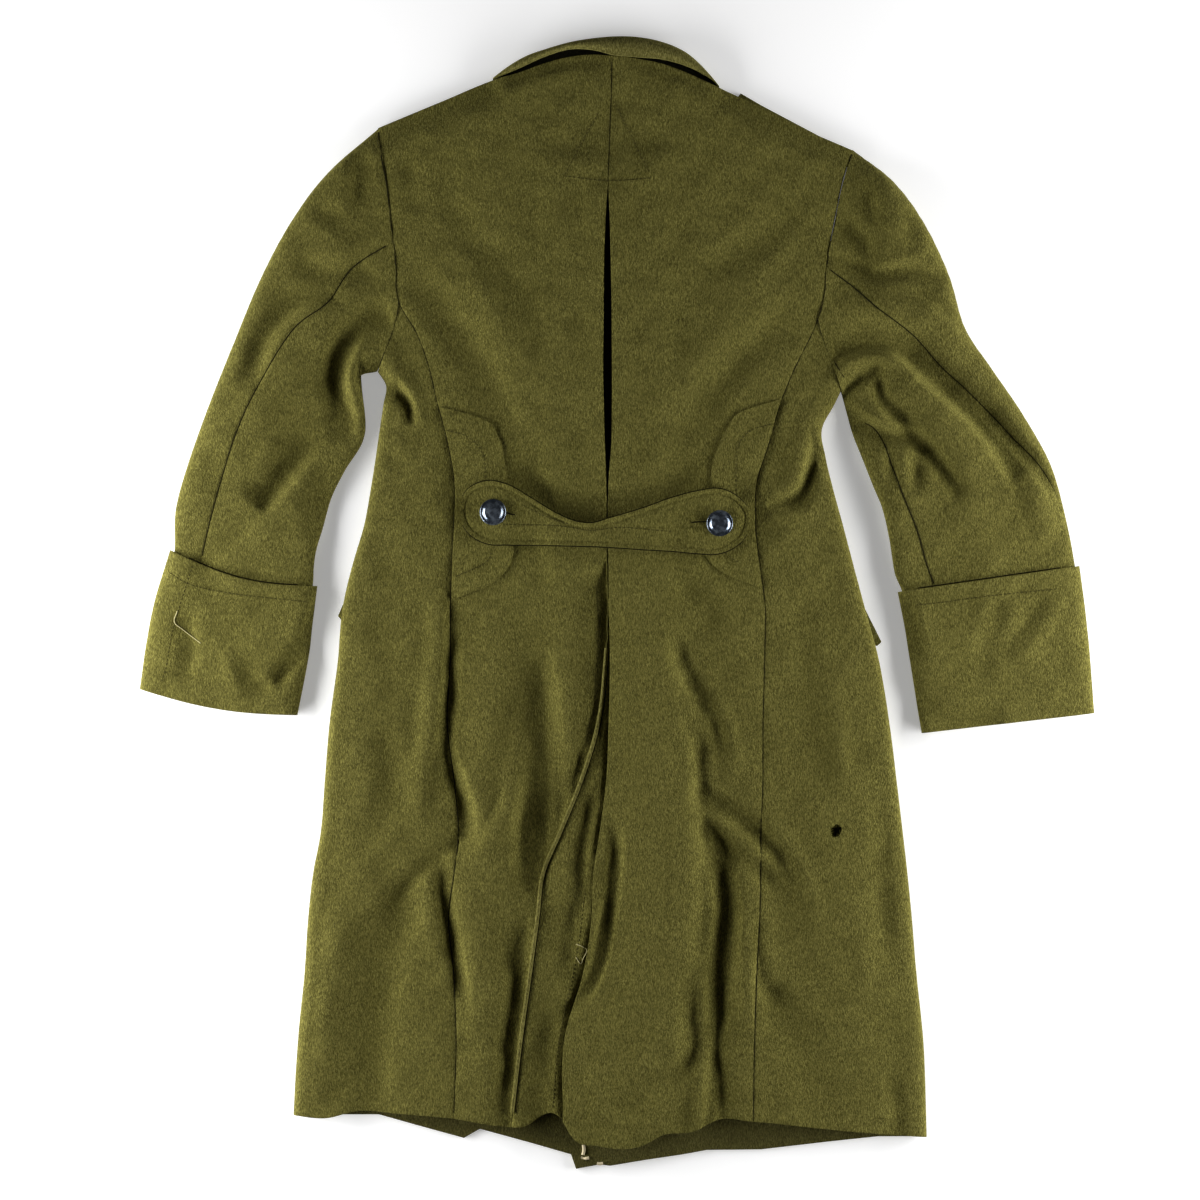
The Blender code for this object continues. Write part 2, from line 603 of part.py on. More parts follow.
def cloth_height(x, y):
    """Top of the upper cloth of back, sides and sleeves at each place."""
    rise = sum(fold_height(fold, x, y) for fold in FOLDS)
    below_shoulder = ease((top_edge(x) - y) / SHOULDER_SLOPE)
    on_neck = plateau(x, NECK_LEFT, NECK_RIGHT, NECK_FADE)
    body = mix(SHOULDER_TOP, FLAT_TOP, np.maximum(below_shoulder, on_neck))
    on_body = (x > outer_left(y)) & (x < outer_right(y))
    level = np.where(on_body, body, FLAT_TOP)
    return np.maximum(level + rise + centre_rise(x, y), lowest_top(x, y))


# Panels as pairs of points: an outer one and an inner one behind it

def stack(x, y, z):
    return np.stack(np.broadcast_arrays(x, y, z), axis=-1)


def lying(x, y, top, thickness=CLOTH):
    """Outer and inner points of cloth that lies with its outside upwards."""
    return stack(x, y, top), stack(x, y, top - thickness)


def row_height(v, top, seam_start):
    """Height of a back panel's row: armhole rows above the side-back seam's start, seam rows below."""
    armhole_share = ARMHOLE_ROWS / BACK_ROWS
    above = mix(top, seam_start, v / armhole_share)
    below = mix(seam_start, HEM_LINE, (v - armhole_share) / (1 - armhole_share))
    return np.where(v < armhole_share, above, below)


def to_hem(x, y, row_y):
    """Moves the rows near the hem down or up to the hem's own line."""
    share = ease(1 - (row_y - HEM_LINE) / HEM_FADE)
    return y + (upper_hem(x) - HEM_LINE) * share


def back_points(u, v, outer, inner, outer_top, seam_start, gap):
    """A back panel: u across from the outer edge to the centre, v from shoulder and neck to hem."""
    y_outer = row_height(v, outer_top, seam_start)
    y_inner = row_height(v, CENTRE_NECK, seam_start + CENTRE_ROW_RISE)
    x = mix(outer(y_outer) + gap, inner(y_inner) - gap, u)
    y = mix(y_outer, y_inner, u)
    top_share = ease(1 - v * BACK_ROWS / ARMHOLE_ROWS)
    y = y + (top_edge(x) - mix(outer_top, CENTRE_NECK, u)) * top_share
    y = to_hem(x, y, y_outer)
    return lying(x, y, cloth_height(x, y))


def back_left_points(u, v):
    return back_points(u, v, outer_left, centre_left, LEFT_SHOULDER, LEFT_SEAM_START, SEAM_GAP / 2)


def back_right_points(u, v):
    return back_points(u, v, outer_right, centre_right, RIGHT_SHOULDER, RIGHT_SEAM_START, -SEAM_GAP / 2)


def insert_points(u, v):
    """Insert of the box pleat: a flat strip under the backs, deepest below the slit's raised lips."""
    y = mix(INSERT_TOP, INSERT_END, v)
    middle = 0.5 * (centre_left(y) + centre_right(y))
    x = middle + mix(-INSERT_HALF_WIDTH, INSERT_HALF_WIDTH, u)
    return lying(x, y, np.full(x.shape, FLAT_TOP))


def underlap_points(u, v):
    """Vent underlap: sewn to the left back's edge and lying under the right back."""
    row_y = mix(UNDERLAP_TOP, HEM_LINE, v)
    hidden_edge = centre_right(row_y) + VENT_LAP - VENT_EDGE_MARGIN
    x = mix(centre_left(row_y) + CURVED_SEAM_GAP, hidden_edge, u)
    y = to_hem(np.minimum(x, UNDERLAP_HEM_CORNER), row_y, row_y)
    return lying(x, y, np.full(x.shape, FLAT_TOP))


def roll(reach, top, floor, width, angle):
    """Outer and inner (reach, height) of a rolled edge at an angle from +90 (top) to -90 (floor)."""
    middle = 0.5 * (top + floor)
    half = 0.5 * (top - floor)
    across = np.cos(angle)
    up = np.sin(angle)
    outer = (reach - width + width * across, middle + half * up)
    inner_width = np.maximum(width - CLOTH, ROLL_INSIDE)
    inner = (reach - width + inner_width * across, middle + (half - CLOTH) * up)
    return outer, inner


def flap_lift(y, middle):
    return FLAP_LIFT * ease(FLAP_LIFT_RATE * (1 - np.abs(y - middle) / FLAP_LIFT_REACH))


def side_points(u, v, seam, side, seam_top, side_top, facing, flap_middle):
    """Side of a front: from the side-back seam over the rolled side to a strip of the underside."""
    column = np.rint(u * SIDE_CELLS)
    on_top = np.clip(column / SIDE_COLUMNS, 0.0, 1.0)
    y_seam = mix(seam_top, HEM_LINE, v)
    y_side = mix(side_top, HEM_LINE, v)
    edge = facing * side(y_side)
    start = facing * seam(y_seam) + SEAM_GAP / 2
    width = np.minimum(SIDE_ROLL, ROLL_LIMIT * (edge - start))
    reach = mix(start, edge - width, on_top)
    angle = np.pi / 2 - np.pi * np.clip((column - SIDE_COLUMNS) / ROLL_CELLS, 0.0, 1.0)
    past = column - SIDE_COLUMNS - ROLL_CELLS
    under = past > 0
    widest = np.where(column > SIDE_COLUMNS + ROLL_CELLS / 2, edge, reach + width * np.cos(angle))
    across = (widest - start) / (edge - start)
    scooped = mix(across, across ** (1 / ARMHOLE_CURVE), ease(1 - v / UNDERARM_SHARE))
    y = to_hem(facing * widest, mix(y_seam, y_side, scooped), y_seam)
    top = cloth_height(facing * reach, y)
    floor = flap_lift(y, flap_middle)
    outer, inner = roll(edge, top, floor, width, angle)
    at_end = past >= UNDER_CELLS
    strip = np.where(at_end, UNDER_STRIP + UNDER_STRIP_FADE, UNDER_STRIP)
    floor = np.where(at_end, 0.0, floor)
    on_run = column < SIDE_COLUMNS
    outer_reach = np.where(on_run, reach, np.where(under, edge - width - strip, outer[0]))
    inner_reach = np.where(on_run, reach, np.where(under, edge - width - strip, inner[0]))
    outer_z = np.where(on_run, top, np.where(under, floor, outer[1]))
    inner_z = np.where(on_run, top - CLOTH, np.where(under, floor + CLOTH, inner[1]))
    return stack(facing * outer_reach, y, outer_z), stack(facing * inner_reach, y, inner_z)


def left_side_points(u, v):
    return side_points(u, v, outer_left, side_left, LEFT_SEAM_START, LEFT_UNDERARM, -1,
                       FLAP_MIDDLE_LEFT)


def right_side_points(u, v):
    return side_points(u, v, outer_right, side_right, RIGHT_SEAM_START, RIGHT_UNDERARM, 1,
                       FLAP_MIDDLE_RIGHT)


def ring(outer, inner, share, top, floor, thickness):
    """Outer and inner points on a flattened tube, `share` of the way round from its outer fold."""
    share = np.mod(share, 2.0)
    width = np.hypot(inner[0] - outer[0], inner[1] - outer[1])
    rolled = np.minimum(SIDE_ROLL, TUBE_ROLL_LIMIT * width) / width
    at_outer = (share < ROLL_SHARE) | (share > 2 - ROLL_SHARE)
    at_inner = np.abs(share - 1) < ROLL_SHARE
    on_top = (share >= ROLL_SHARE) & (share <= 1 - ROLL_SHARE)
    run = (np.where(share > 1, 2 - share, share) - ROLL_SHARE) / (1 - 2 * ROLL_SHARE)
    flat = mix(rolled, 1 - rolled, np.clip(run, 0.0, 1.0))
    around_outer = np.where(share > 1, share - 2, share) / ROLL_SHARE * np.pi / 2
    around_inner = (share - 1) / ROLL_SHARE * np.pi / 2
    middle = 0.5 * (top + floor)
    half = 0.5 * (top - floor)
    sheets = []
    for depth in (0.0, thickness):
        reach = rolled - depth / width
        s = np.where(at_outer, rolled - reach * np.cos(around_outer), flat)
        s = np.where(at_inner, 1 - rolled + reach * np.cos(around_inner), s)
        z = np.where(on_top, top - depth, floor + depth)
        z = np.where(at_outer, middle + (half - depth) * np.sin(around_outer), z)
        z = np.where(at_inner, middle - (half - depth) * np.sin(around_inner), z)
        sheets.append((s, z))
    return sheets


def armhole(share, rows, outer_edge, facing, scoop_from):
    """Place on an armhole, from the shoulder (0) to the underarm (1)."""
    top = rows[0]
    y = mix(top.outer_y, top.inner_y, share)
    on_front = np.clip((scoop_from - y) / (scoop_from - top.inner_y), 0.0, 1.0)
    front_start = outer_edge(scoop_from)
    x = np.where(y >= scoop_from, outer_edge(y), mix(front_start, top.inner_x, on_front ** ARMHOLE_CURVE))
    return x + facing * ARMHOLE_GAP, y


def sleeve_points(share, v, rows, outer_edge, facing, scoop_from):
    """A sleeve's tube at a share of the way round, v from armhole to the end inside the cuff."""
    outer = (along(rows, "outer_x")(v), along(rows, "outer_y")(v))
    inner = (along(rows, "inner_x")(v), along(rows, "inner_y")(v))
    floor = CUFF_LIFT * ease((v - CUFF_LIFT_START) / (CUFF_LIFT_END - CUFF_LIFT_START))
    blend = ease(1 - v / ARMHOLE_BLEND)
    start = rows[0]

    def place(s):
        arm_x, arm_y = armhole(np.clip(s, 0.0, 1.0), rows, outer_edge, facing, scoop_from)
        x = mix(outer[0], inner[0], s) + (arm_x - mix(start.outer_x, start.inner_x, s)) * blend
        y = mix(outer[1], inner[1], s) + (arm_y - mix(start.outer_y, start.inner_y, s)) * blend
        return x, y

    s = ring(outer, inner, share, FLAT_TOP, floor, CLOTH)[0][0]
    top = sleeve_top(*place(s), floor)
    return [stack(*place(s), z) for s, z in ring(outer, inner, share, top, floor, CLOTH)]


def sleeve_top(x, y, floor):
    """Top of a sleeve, never so low that its two sides meet."""
    return np.maximum(cloth_height(x, y), floor + 2 * CLOTH + SLEEVE_INSIDE)


def left_sleeve(share, v):
    return sleeve_points(share, v, LEFT_SLEEVE, outer_left, -1, LEFT_SEAM_START)


def right_sleeve(share, v):
    return sleeve_points(share, v, RIGHT_SLEEVE, outer_right, 1, RIGHT_SEAM_START)


def top_sleeve(sleeve, rows):
    """The half that wraps the outer fold, from the front seam round to the back seam."""
    def points(u, v):
        first = along(rows, "front_seam")(v) - 2 + SEAM_SHARE
        last = along(rows, "back_seam")(v) - SEAM_SHARE
        return sleeve(mix(first, last, u), v)

    return points


def under_sleeve(sleeve, rows):
    """The half that wraps the inner fold, from the back seam round to the front seam."""
    def points(u, v):
        first = along(rows, "back_seam")(v) + SEAM_SHARE
        last = along(rows, "front_seam")(v) - SEAM_SHARE
        return sleeve(mix(first, last, u), v)

    return points


def cuff(rows):
    """A cuff's tube, lying round the end of its sleeve and flat at its open end."""
    def points(share, v):
        outer = (along(rows, "outer_x")(v), along(rows, "outer_y")(v))
        inner = (along(rows, "inner_x")(v), along(rows, "inner_y")(v))
        sag = along(rows, "sag")(v)

        def place(s):
            x = mix(outer[0], inner[0], s)
            y = mix(outer[1], inner[1], s) - sag * np.sin(np.pi * np.clip(s, 0.0, 1.0))
            return x, y

        s = ring(outer, inner, share, FLAT_TOP, 0.0, CLOTH)[0][0]
        round_sleeve = sleeve_top(*place(s), CUFF_LIFT) + LAYER + CUFF_CLEARANCE
        mouth = ease((v - CUFF_COVER_END) / (CUFF_MOUTH_START - CUFF_COVER_END))
        top = mix(round_sleeve, FLAT_TOP, mouth)
        return [stack(*place(s), z) for s, z in ring(outer, inner, share, top, 0.0, CLOTH)]

    return points


def collar_points(u, v):
    """Collar: from the neck seam over its roll, v along the neck and u across the roll."""
    x = mix(COLLAR[0].x, COLLAR[-1].x, v)
    column = np.rint(u * COLLAR_CELLS)
    seam = top_edge(x) + CURVED_SEAM_GAP
    outline = collar_outline(x)
    width = np.minimum(COLLAR_ROLL, ROLL_LIMIT * (outline - seam))
    on_top = np.clip(column / COLLAR_TOP_COLUMNS, 0.0, 1.0)
    reach = mix(seam, outline - width, on_top)
    middle_share = np.sqrt(np.sin(np.pi * v))
    crest = mix(COLLAR_END_TOP, COLLAR_CREST, middle_share)
    at_seam = np.minimum(cloth_height(x, top_edge(x)), crest)
    top = mix(at_seam, crest, ease(on_top * COLLAR_RISE_RATE))
    angle = np.pi / 2 - np.pi * np.clip((column - COLLAR_TOP_COLUMNS) / ROLL_CELLS, 0.0, 1.0)
    outer, inner = roll(outline, top, 0.0, width, angle)
    past = np.clip(column - COLLAR_TOP_COLUMNS - ROLL_CELLS, 0, UNDER_CELLS)
    under_run = COLLAR_UNDER_RUN * middle_share + COLLAR_UNDER_LEAST
    under = outline - width - past / UNDER_CELLS * under_run
    on_run = column < COLLAR_TOP_COLUMNS
    outer_y = np.where(on_run, reach, np.where(past > 0, under, outer[0]))
    inner_y = np.where(on_run, reach, np.where(past > 0, under, inner[0]))
    outer_z = np.where(on_run, top, np.where(past > 0, 0.0, outer[1]))
    inner_z = np.where(on_run, top - CLOTH, np.where(past > 0, CLOTH, inner[1]))
    return stack(x, outer_y, outer_z), stack(x, inner_y, inner_z)


def belt_base(x, y):
    """Underside of the half belt: over the patches at its ends, buckled up in the middle."""
    from_middle = np.abs(x - BELT_MIDDLE) / BELT_BUCKLE_REACH
    on_patch = ease(BELT_PATCH_RATE * (from_middle - BELT_PATCH_START))
    over_patch = (PATCH_THICKNESS + RESTING_GAP) * on_patch
    buckle = BELT_BUCKLE * ease(1 - from_middle)
    return cloth_height(x, y) + RESTING_GAP + over_patch + buckle


def belt_points(u, v):
    """Half belt, its columns crowded towards the rounded ends."""
    crowded = 0.5 - 0.5 * np.cos(np.pi * mix(u, ease(u), BELT_END_CROWDING))
    x = mix(BELT[0].x, BELT[-1].x, crowded)
    y = mix(belt_low(x), belt_high(x), v)
    top = belt_base(x, y) + BELT_THICKNESS
    return lying(x, y, top, BELT_THICKNESS)


def patch_points(rows, seam, facing):
    """A D-shaped patch on a back panel, against its side-back seam."""
    reach = smooth(rows, "y", "reach")

    def points(u, v):
        y = mix(rows[0].y, rows[-1].y, v)
        x = seam(y) - facing * mix(PATCH_SEAM_INSET, reach(y), u)
        return lying(x, y, cloth_height(x, y) + RESTING_GAP + PATCH_THICKNESS, PATCH_THICKNESS)

    return points


# Meshes

def piece_material(name, finish):
    material = bpy.data.materials.new(name)
    material.use_nodes = True
    shader = material.node_tree.nodes["Principled BSDF"]
    shader.inputs["Base Color"].default_value = finish.colour
    shader.inputs["Roughness"].default_value = finish.roughness
    shader.inputs["Metallic"].default_value = finish.metallic
    return material


def add_object(name, mesh_builder, finish=WOOL):
    mesh = bpy.data.meshes.new(name)
    mesh_builder.to_mesh(mesh)
    mesh_builder.free()
    mesh.materials.append(piece_material(name, finish))
    mesh.shade_smooth()
    mesh.set_sharp_from_angle(angle=SHARP_ANGLE)
    piece = bpy.data.objects.new(name, mesh)
    bpy.context.collection.objects.link(piece)
    return piece


def grid_places(builder):
    """u and v of every vertex of a unit grid, u along its x and v down its y."""
    places = np.array([vertex.co[:2] for vertex in builder.verts])
    return places[:, 0] + 0.5, 0.5 - places[:, 1]


def set_points(vertices, points):
    for vertex, point in zip(vertices, points):
        vertex.co = point


def thicken(builder, outer, inner):
    """Closes a sheet into a wall: its own vertices take the outer points, a copy the inner ones."""
    mark = builder.verts.layers.int.new("place")
    for index, vertex in enumerate(builder.verts):
        vertex[mark] = index
    made = bmesh.ops.extrude_face_region(builder, geom=list(builder.faces), use_keep_orig=True)
    copies = [item for item in made["geom"] if isinstance(item, bmesh.types.BMVert)]
    copied = set(copies)
    for vertex in builder.verts:
        vertex.co = inner[vertex[mark]] if vertex in copied else outer[vertex[mark]]
    builder.verts.layers.int.remove(mark)
    face_outwards(builder)


def face_outwards(builder):
    bmesh.ops.recalc_face_normals(builder, faces=builder.faces)
    if builder.calc_volume(signed=True) < 0:
        bmesh.ops.reverse_faces(builder, faces=builder.faces)


def panel(name, columns, rows, points):
    """A cloth panel from its (u, v) points."""
    builder = bmesh.new()
    bmesh.ops.create_grid(builder, x_segments=columns, y_segments=rows, size=0.5)
    u, v = grid_places(builder)
    outer, inner = points(u, v)
    thicken(builder, outer, inner)
    return add_object(name, builder)


def tube(name, steps, rows, points):
    """A cuff: a flattened tube whose wall closes on itself at both ends."""
    builder = bmesh.new()
    bmesh.ops.create_grid(builder, x_segments=steps, y_segments=2 * rows + 2, size=0.5)
    u, w = grid_places(builder)
    row = np.rint(w * (2 * rows + 2))
    outside = row <= rows
    v = np.where(outside, row, 2 * rows + 1 - row) / rows
    v = np.where(row > 2 * rows + 1, 0.0, v)
    outside = outside | (row > 2 * rows + 1)
    outer, inner = points(2 * u, v)
    set_points(builder.verts, np.where(outside[:, None], outer, inner))
    bmesh.ops.remove_doubles(builder, verts=builder.verts, dist=MERGE_DISTANCE)
    face_outwards(builder)
    return add_object(name, builder)


def front(name, points, plates):
    """A front: its side grid joined to the flat plates of its underside.

    Each plate is a list of (place, height); a place of None stands for the side grid's inner edge.
    """
    builder = bmesh.new()
    bmesh.ops.create_grid(builder, x_segments=SIDE_CELLS, y_segments=SIDE_ROWS, size=0.5)
    u, v = grid_places(builder)
    outer, inner = points(u, v)
    builder.verts.ensure_lookup_table()
    inner_edge = [index for index in np.argsort(v) if u[index] > 1 - 0.5 / SIDE_CELLS]
    corners = {}
    outer_list = list(outer)
    inner_list = list(inner)
    for plate in plates:
        ring_vertices = []
        for place, height in plate:
            if place is None:
                ring_vertices += [builder.verts[index] for index in inner_edge]
                continue
            if place not in corners:
                corners[place] = builder.verts.new((*place, 1.0))
                outer_list.append((*place, height))
                inner_list.append((*place, height + CLOTH))
            ring_vertices.append(corners[place])
        builder.verts.index_update()
        builder.verts.ensure_lookup_table()
        builder.faces.new(ring_vertices)
    thicken(builder, outer_list, inner_list)
    return add_object(name, builder)


def at_height(rows, height):
    """Places of an underside plate's corners, each with its height."""
    return [(EdgeRow(*row), height) for row in rows]


def below_strap(rows):
    """A strap's edge moved down, so that the front beside it stays clear of it."""
    return [EdgeRow(row.x, row.y - STRAP_CLEARANCE) for row in rows]


def underside_armhole(rows, outer_edge, facing, scoop_from, shoulder_y):
    """Armhole edge of a front's underside, from underarm to shoulder, just inside the sleeve's edge."""
    first = rows[0].inner_y + UNDERSIDE_ARMHOLE_START
    heights = np.linspace(first, shoulder_y, UNDERSIDE_ARMHOLE_STEPS)
    shares = (rows[0].outer_y - heights) / (rows[0].outer_y - rows[0].inner_y)
    x, y = armhole(shares, rows, outer_edge, facing, scoop_from)
    return [EdgeRow(float(at - facing * UNDERSIDE_INSET), float(height)) for at, height in zip(x, y)]


def left_plates():
    """Underside of the left front: armhole, shoulder, neck, front edge and hem, on the floor."""
    armhole_edge = underside_armhole(LEFT_SLEEVE, outer_left, -1, LEFT_SEAM_START, LEFT_ARMHOLE_TOP)
    shoulder = below_strap(STRAP_LEFT[2:])
    hem = [LEFT_FRONT_HEM_CORNER, *LOWER_HEM_LEFT[::-1]]
    outline = [*armhole_edge, *shoulder, *LEFT_FRONT_NECK, *hem]
    return [[(None, 0.0)] + at_height(outline[::-1], 0.0)]


def right_plates():
    """Underside of the right front: flat at its side, up a ramp and over the left front."""
    armhole_edge = underside_armhole(RIGHT_SLEEVE, outer_right, 1, RIGHT_SEAM_START, RIGHT_ARMHOLE_TOP)
    hem = smooth(LOWER_HEM_RIGHT, "x", "y")
    ramp_top, lap_top, *lap_neck = RIGHT_FRONT_NECK
    ramp_hem = EdgeRow(LAP_RAMP_END, float(hem(LAP_RAMP_END)))
    lap_hem = EdgeRow(LAP_RAMP_START, float(hem(LAP_RAMP_START)))
    hem_side = [row for row in LOWER_HEM_RIGHT if row.x > LAP_RAMP_END + RAMP_HEM_MARGIN]
    hem_lap = [row for row in LOWER_HEM_RIGHT if row.x < LAP_RAMP_START - RAMP_HEM_MARGIN]
    shoulder = below_strap(STRAP_RIGHT[4:])
    side = [*hem_side[::-1], ramp_hem, ramp_top, *shoulder[::-1], *armhole_edge[::-1]]
    side_plate = [(None, 0.0)] + at_height(side, 0.0)
    ramp = at_height([ramp_top, ramp_hem], 0.0) + at_height([lap_hem, lap_top], LAYER)
    lap = at_height([lap_top, lap_hem, *hem_lap[::-1], RIGHT_FRONT_HEM_CORNER, *lap_neck[::-1]], LAYER)
    return [side_plate, ramp, lap]


def tab(name, outline, bottom, thickness):
    """A flat tab of cloth: its outline drawn as one face and extruded upwards."""
    builder = bmesh.new()
    face = builder.faces.new([builder.verts.new((x, y, bottom)) for x, y in outline])
    made = bmesh.ops.extrude_face_region(builder, geom=[face], use_keep_orig=True)
    raised = [item for item in made["geom"] if isinstance(item, bmesh.types.BMVert)]
    bmesh.ops.translate(builder, verts=raised, vec=(0.0, 0.0, thickness))
    bmesh.ops.recalc_face_normals(builder, faces=builder.faces)
    return add_object(name, builder)


def button(name, centre):
    """A domed metal button with a rim, turned round its own axis."""
    builder = bmesh.new()
    line = []
    for point in BUTTON_PROFILE:
        line.append(builder.verts.new((BUTTON_RADIUS * point.reach, 0.0, BUTTON_HEIGHT * point.rise)))
    edges = [builder.edges.new(pair) for pair in zip(line, line[1:])]
    bmesh.ops.spin(builder, geom=line + edges, axis=(0, 0, 1), cent=(0, 0, 0), angle=math.tau,
                   steps=BUTTON_STEPS, use_merge=True)
    bmesh.ops.remove_doubles(builder, verts=builder.verts, dist=MERGE_DISTANCE)
    bmesh.ops.recalc_face_normals(builder, faces=builder.faces)
    piece = add_object(name, builder, BUTTON_METAL)
    around = np.linspace(0.0, math.tau, BUTTON_STEPS)
    x = centre[0] + BUTTON_RADIUS * np.cos(around)
    y = centre[1] + BUTTON_RADIUS * np.sin(around)
    seat = float(np.max(belt_base(x, y))) + BELT_THICKNESS + RESTING_GAP
    piece.location = (*centre, seat)
    return piece


def cut_hole(piece):
    """Cuts the worn hole through the right front's side run."""
    builder = bmesh.new()
    bmesh.ops.create_cone(builder, cap_ends=True, segments=HOLE_SIDES, radius1=HOLE_RADIUS,
                          radius2=HOLE_RADIUS, depth=HOLE_CUTTER_DEPTH)
    bmesh.ops.scale(builder, verts=builder.verts, vec=(1.0, HOLE_STRETCH, 1.0))
    middle = HOLE_CUTTER_FLOOR + HOLE_CUTTER_DEPTH / 2
    bmesh.ops.translate(builder, verts=builder.verts, vec=(*HOLE_CENTRE, middle))
    cutter = add_object("hole_cutter", builder)
    cutter.hide_render = True
    cutter.display_type = "WIRE"
    cut = piece.modifiers.new("hole", "BOOLEAN")
    cut.operation = "DIFFERENCE"
    cut.solver = "EXACT"
    cut.object = cutter


def main():
    for old in list(bpy.data.objects):
        bpy.data.objects.remove(old, do_unlink=True)
    panel("back_left", BACK_COLUMNS, BACK_ROWS, back_left_points)
    panel("back_right", BACK_COLUMNS, BACK_ROWS, back_right_points)
    panel("pleat_insert", INSERT_COLUMNS, INSERT_ROWS, insert_points)
    panel("vent_underlap", UNDERLAP_COLUMNS, UNDERLAP_ROWS, underlap_points)
    front("front_left", left_side_points, left_plates())
    right_front = front("front_right", right_side_points, right_plates())
    cut_hole(right_front)
    panel("top_sleeve_left", SLEEVE_COLUMNS, SLEEVE_ROWS, top_sleeve(left_sleeve, LEFT_SLEEVE))
    panel("under_sleeve_left", SLEEVE_COLUMNS, SLEEVE_ROWS, under_sleeve(left_sleeve, LEFT_SLEEVE))
    panel("top_sleeve_right", SLEEVE_COLUMNS, SLEEVE_ROWS, top_sleeve(right_sleeve, RIGHT_SLEEVE))
    panel("under_sleeve_right", SLEEVE_COLUMNS, SLEEVE_ROWS, under_sleeve(right_sleeve, RIGHT_SLEEVE))
    tube("cuff_left", CUFF_STEPS, CUFF_ROWS, cuff(LEFT_CUFF))
    tube("cuff_right", CUFF_STEPS, CUFF_ROWS, cuff(RIGHT_CUFF))
    panel("collar", COLLAR_CELLS, COLLAR_COLUMNS, collar_points)
    panel("half_belt", BELT_COLUMNS, BELT_ROWS, belt_points)
    panel("waist_patch_left", PATCH_COLUMNS, PATCH_ROWS, patch_points(LEFT_PATCH, outer_left, -1))
    panel("waist_patch_right", PATCH_COLUMNS, PATCH_ROWS, patch_points(RIGHT_PATCH, outer_right, 1))
    button("belt_button_left", BUTTON_LEFT)
    button("belt_button_right", BUTTON_RIGHT)
    tab("shoulder_strap_left", STRAP_LEFT, 0.0, CLOTH)
    tab("shoulder_strap_right", STRAP_RIGHT, 0.0, CLOTH)
    tab("pocket_flap_left", FLAP_LEFT, 0.0, FLAP_THICKNESS)
    tab("pocket_flap_right", FLAP_RIGHT, 0.0, FLAP_THICKNESS)


main()
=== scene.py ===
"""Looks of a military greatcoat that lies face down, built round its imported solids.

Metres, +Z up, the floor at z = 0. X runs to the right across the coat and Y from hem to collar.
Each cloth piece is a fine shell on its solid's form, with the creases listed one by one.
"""
import math
import random
from collections import namedtuple

import bmesh
import bpy
import numpy as np
from mathutils import Matrix, Vector


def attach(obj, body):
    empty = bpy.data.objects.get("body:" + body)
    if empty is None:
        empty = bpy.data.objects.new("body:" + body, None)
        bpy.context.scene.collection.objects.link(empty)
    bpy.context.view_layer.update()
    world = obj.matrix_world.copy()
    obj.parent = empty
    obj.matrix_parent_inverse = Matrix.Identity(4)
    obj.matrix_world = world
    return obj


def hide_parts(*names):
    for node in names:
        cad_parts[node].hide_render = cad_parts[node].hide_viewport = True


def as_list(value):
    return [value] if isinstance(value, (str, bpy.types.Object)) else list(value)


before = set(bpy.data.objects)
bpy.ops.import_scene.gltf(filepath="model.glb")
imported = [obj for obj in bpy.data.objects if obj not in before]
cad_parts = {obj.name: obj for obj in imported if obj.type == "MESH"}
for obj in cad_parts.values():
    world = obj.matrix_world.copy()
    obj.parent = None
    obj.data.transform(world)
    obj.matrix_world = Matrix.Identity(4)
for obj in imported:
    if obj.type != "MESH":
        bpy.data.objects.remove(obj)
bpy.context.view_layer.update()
dice = random.Random(1917)

# Cloth and the way its layers lie on each other
CLOTH = 0.003
SEAM_GAP = 0.0003
LAYER = CLOTH + SEAM_GAP
LAYER_EASE = 0.0002
FLAT_TOP = 2 * LAYER + CLOTH
SHOULDER_TOP = LAYER + CLOTH + LAYER_EASE
SHOULDER_SLOPE = 0.030
SEAM_CLOSE = 0.0003
CURVED_SEAM_GAP = 0.0003
RESTING_GAP = 0.0006

# Heights that the backs gain over the pleat insert, the slit's lips and the vent underlap
PLEAT_RISE = LAYER + LAYER_EASE
PLEAT_HALF_WIDTH = 0.050
INSERT_HALF_WIDTH = 0.038
SLIT_LIP_RISE = 0.0034
SLIT_LIP_HALF_WIDTH = 0.030
VENT_LAP = 0.045
VENT_EDGE_MARGIN = 0.003
VENT_LAP_MARGIN = 0.004
RISE_FADE = 0.025
VENT_FALL = 0.0045
VENT_FALL_REACH = 0.014
VENT_FALL_START = 0.025
VENT_FALL_END = -0.130

# Places on the centre back, from neck to hem
SLIT_TOP = 0.421
SLIT_END = 0.114
INSERT_TOP = 0.412
INSERT_END = 0.064
UNDERLAP_TOP = 0.060
UNDERLAP_HEM_CORNER = -0.056
UNDERLAP_DIP = 0.0022
UNDERLAP_DIP_REACH = 0.005
HEM_LINE = -0.520
HEM_FADE = 0.085

# Where the neck, the armholes and the seams begin
CENTRE_NECK = 0.5456
NECK_LEFT = -0.110
NECK_RIGHT = 0.090
NECK_FADE = 0.020
CENTRE_ROW_RISE = 0.030
LEFT_SHOULDER = 0.474
RIGHT_SHOULDER = 0.452
LEFT_SEAM_START = 0.3005
RIGHT_SEAM_START = 0.2840
LEFT_UNDERARM = 0.231
RIGHT_UNDERARM = 0.217

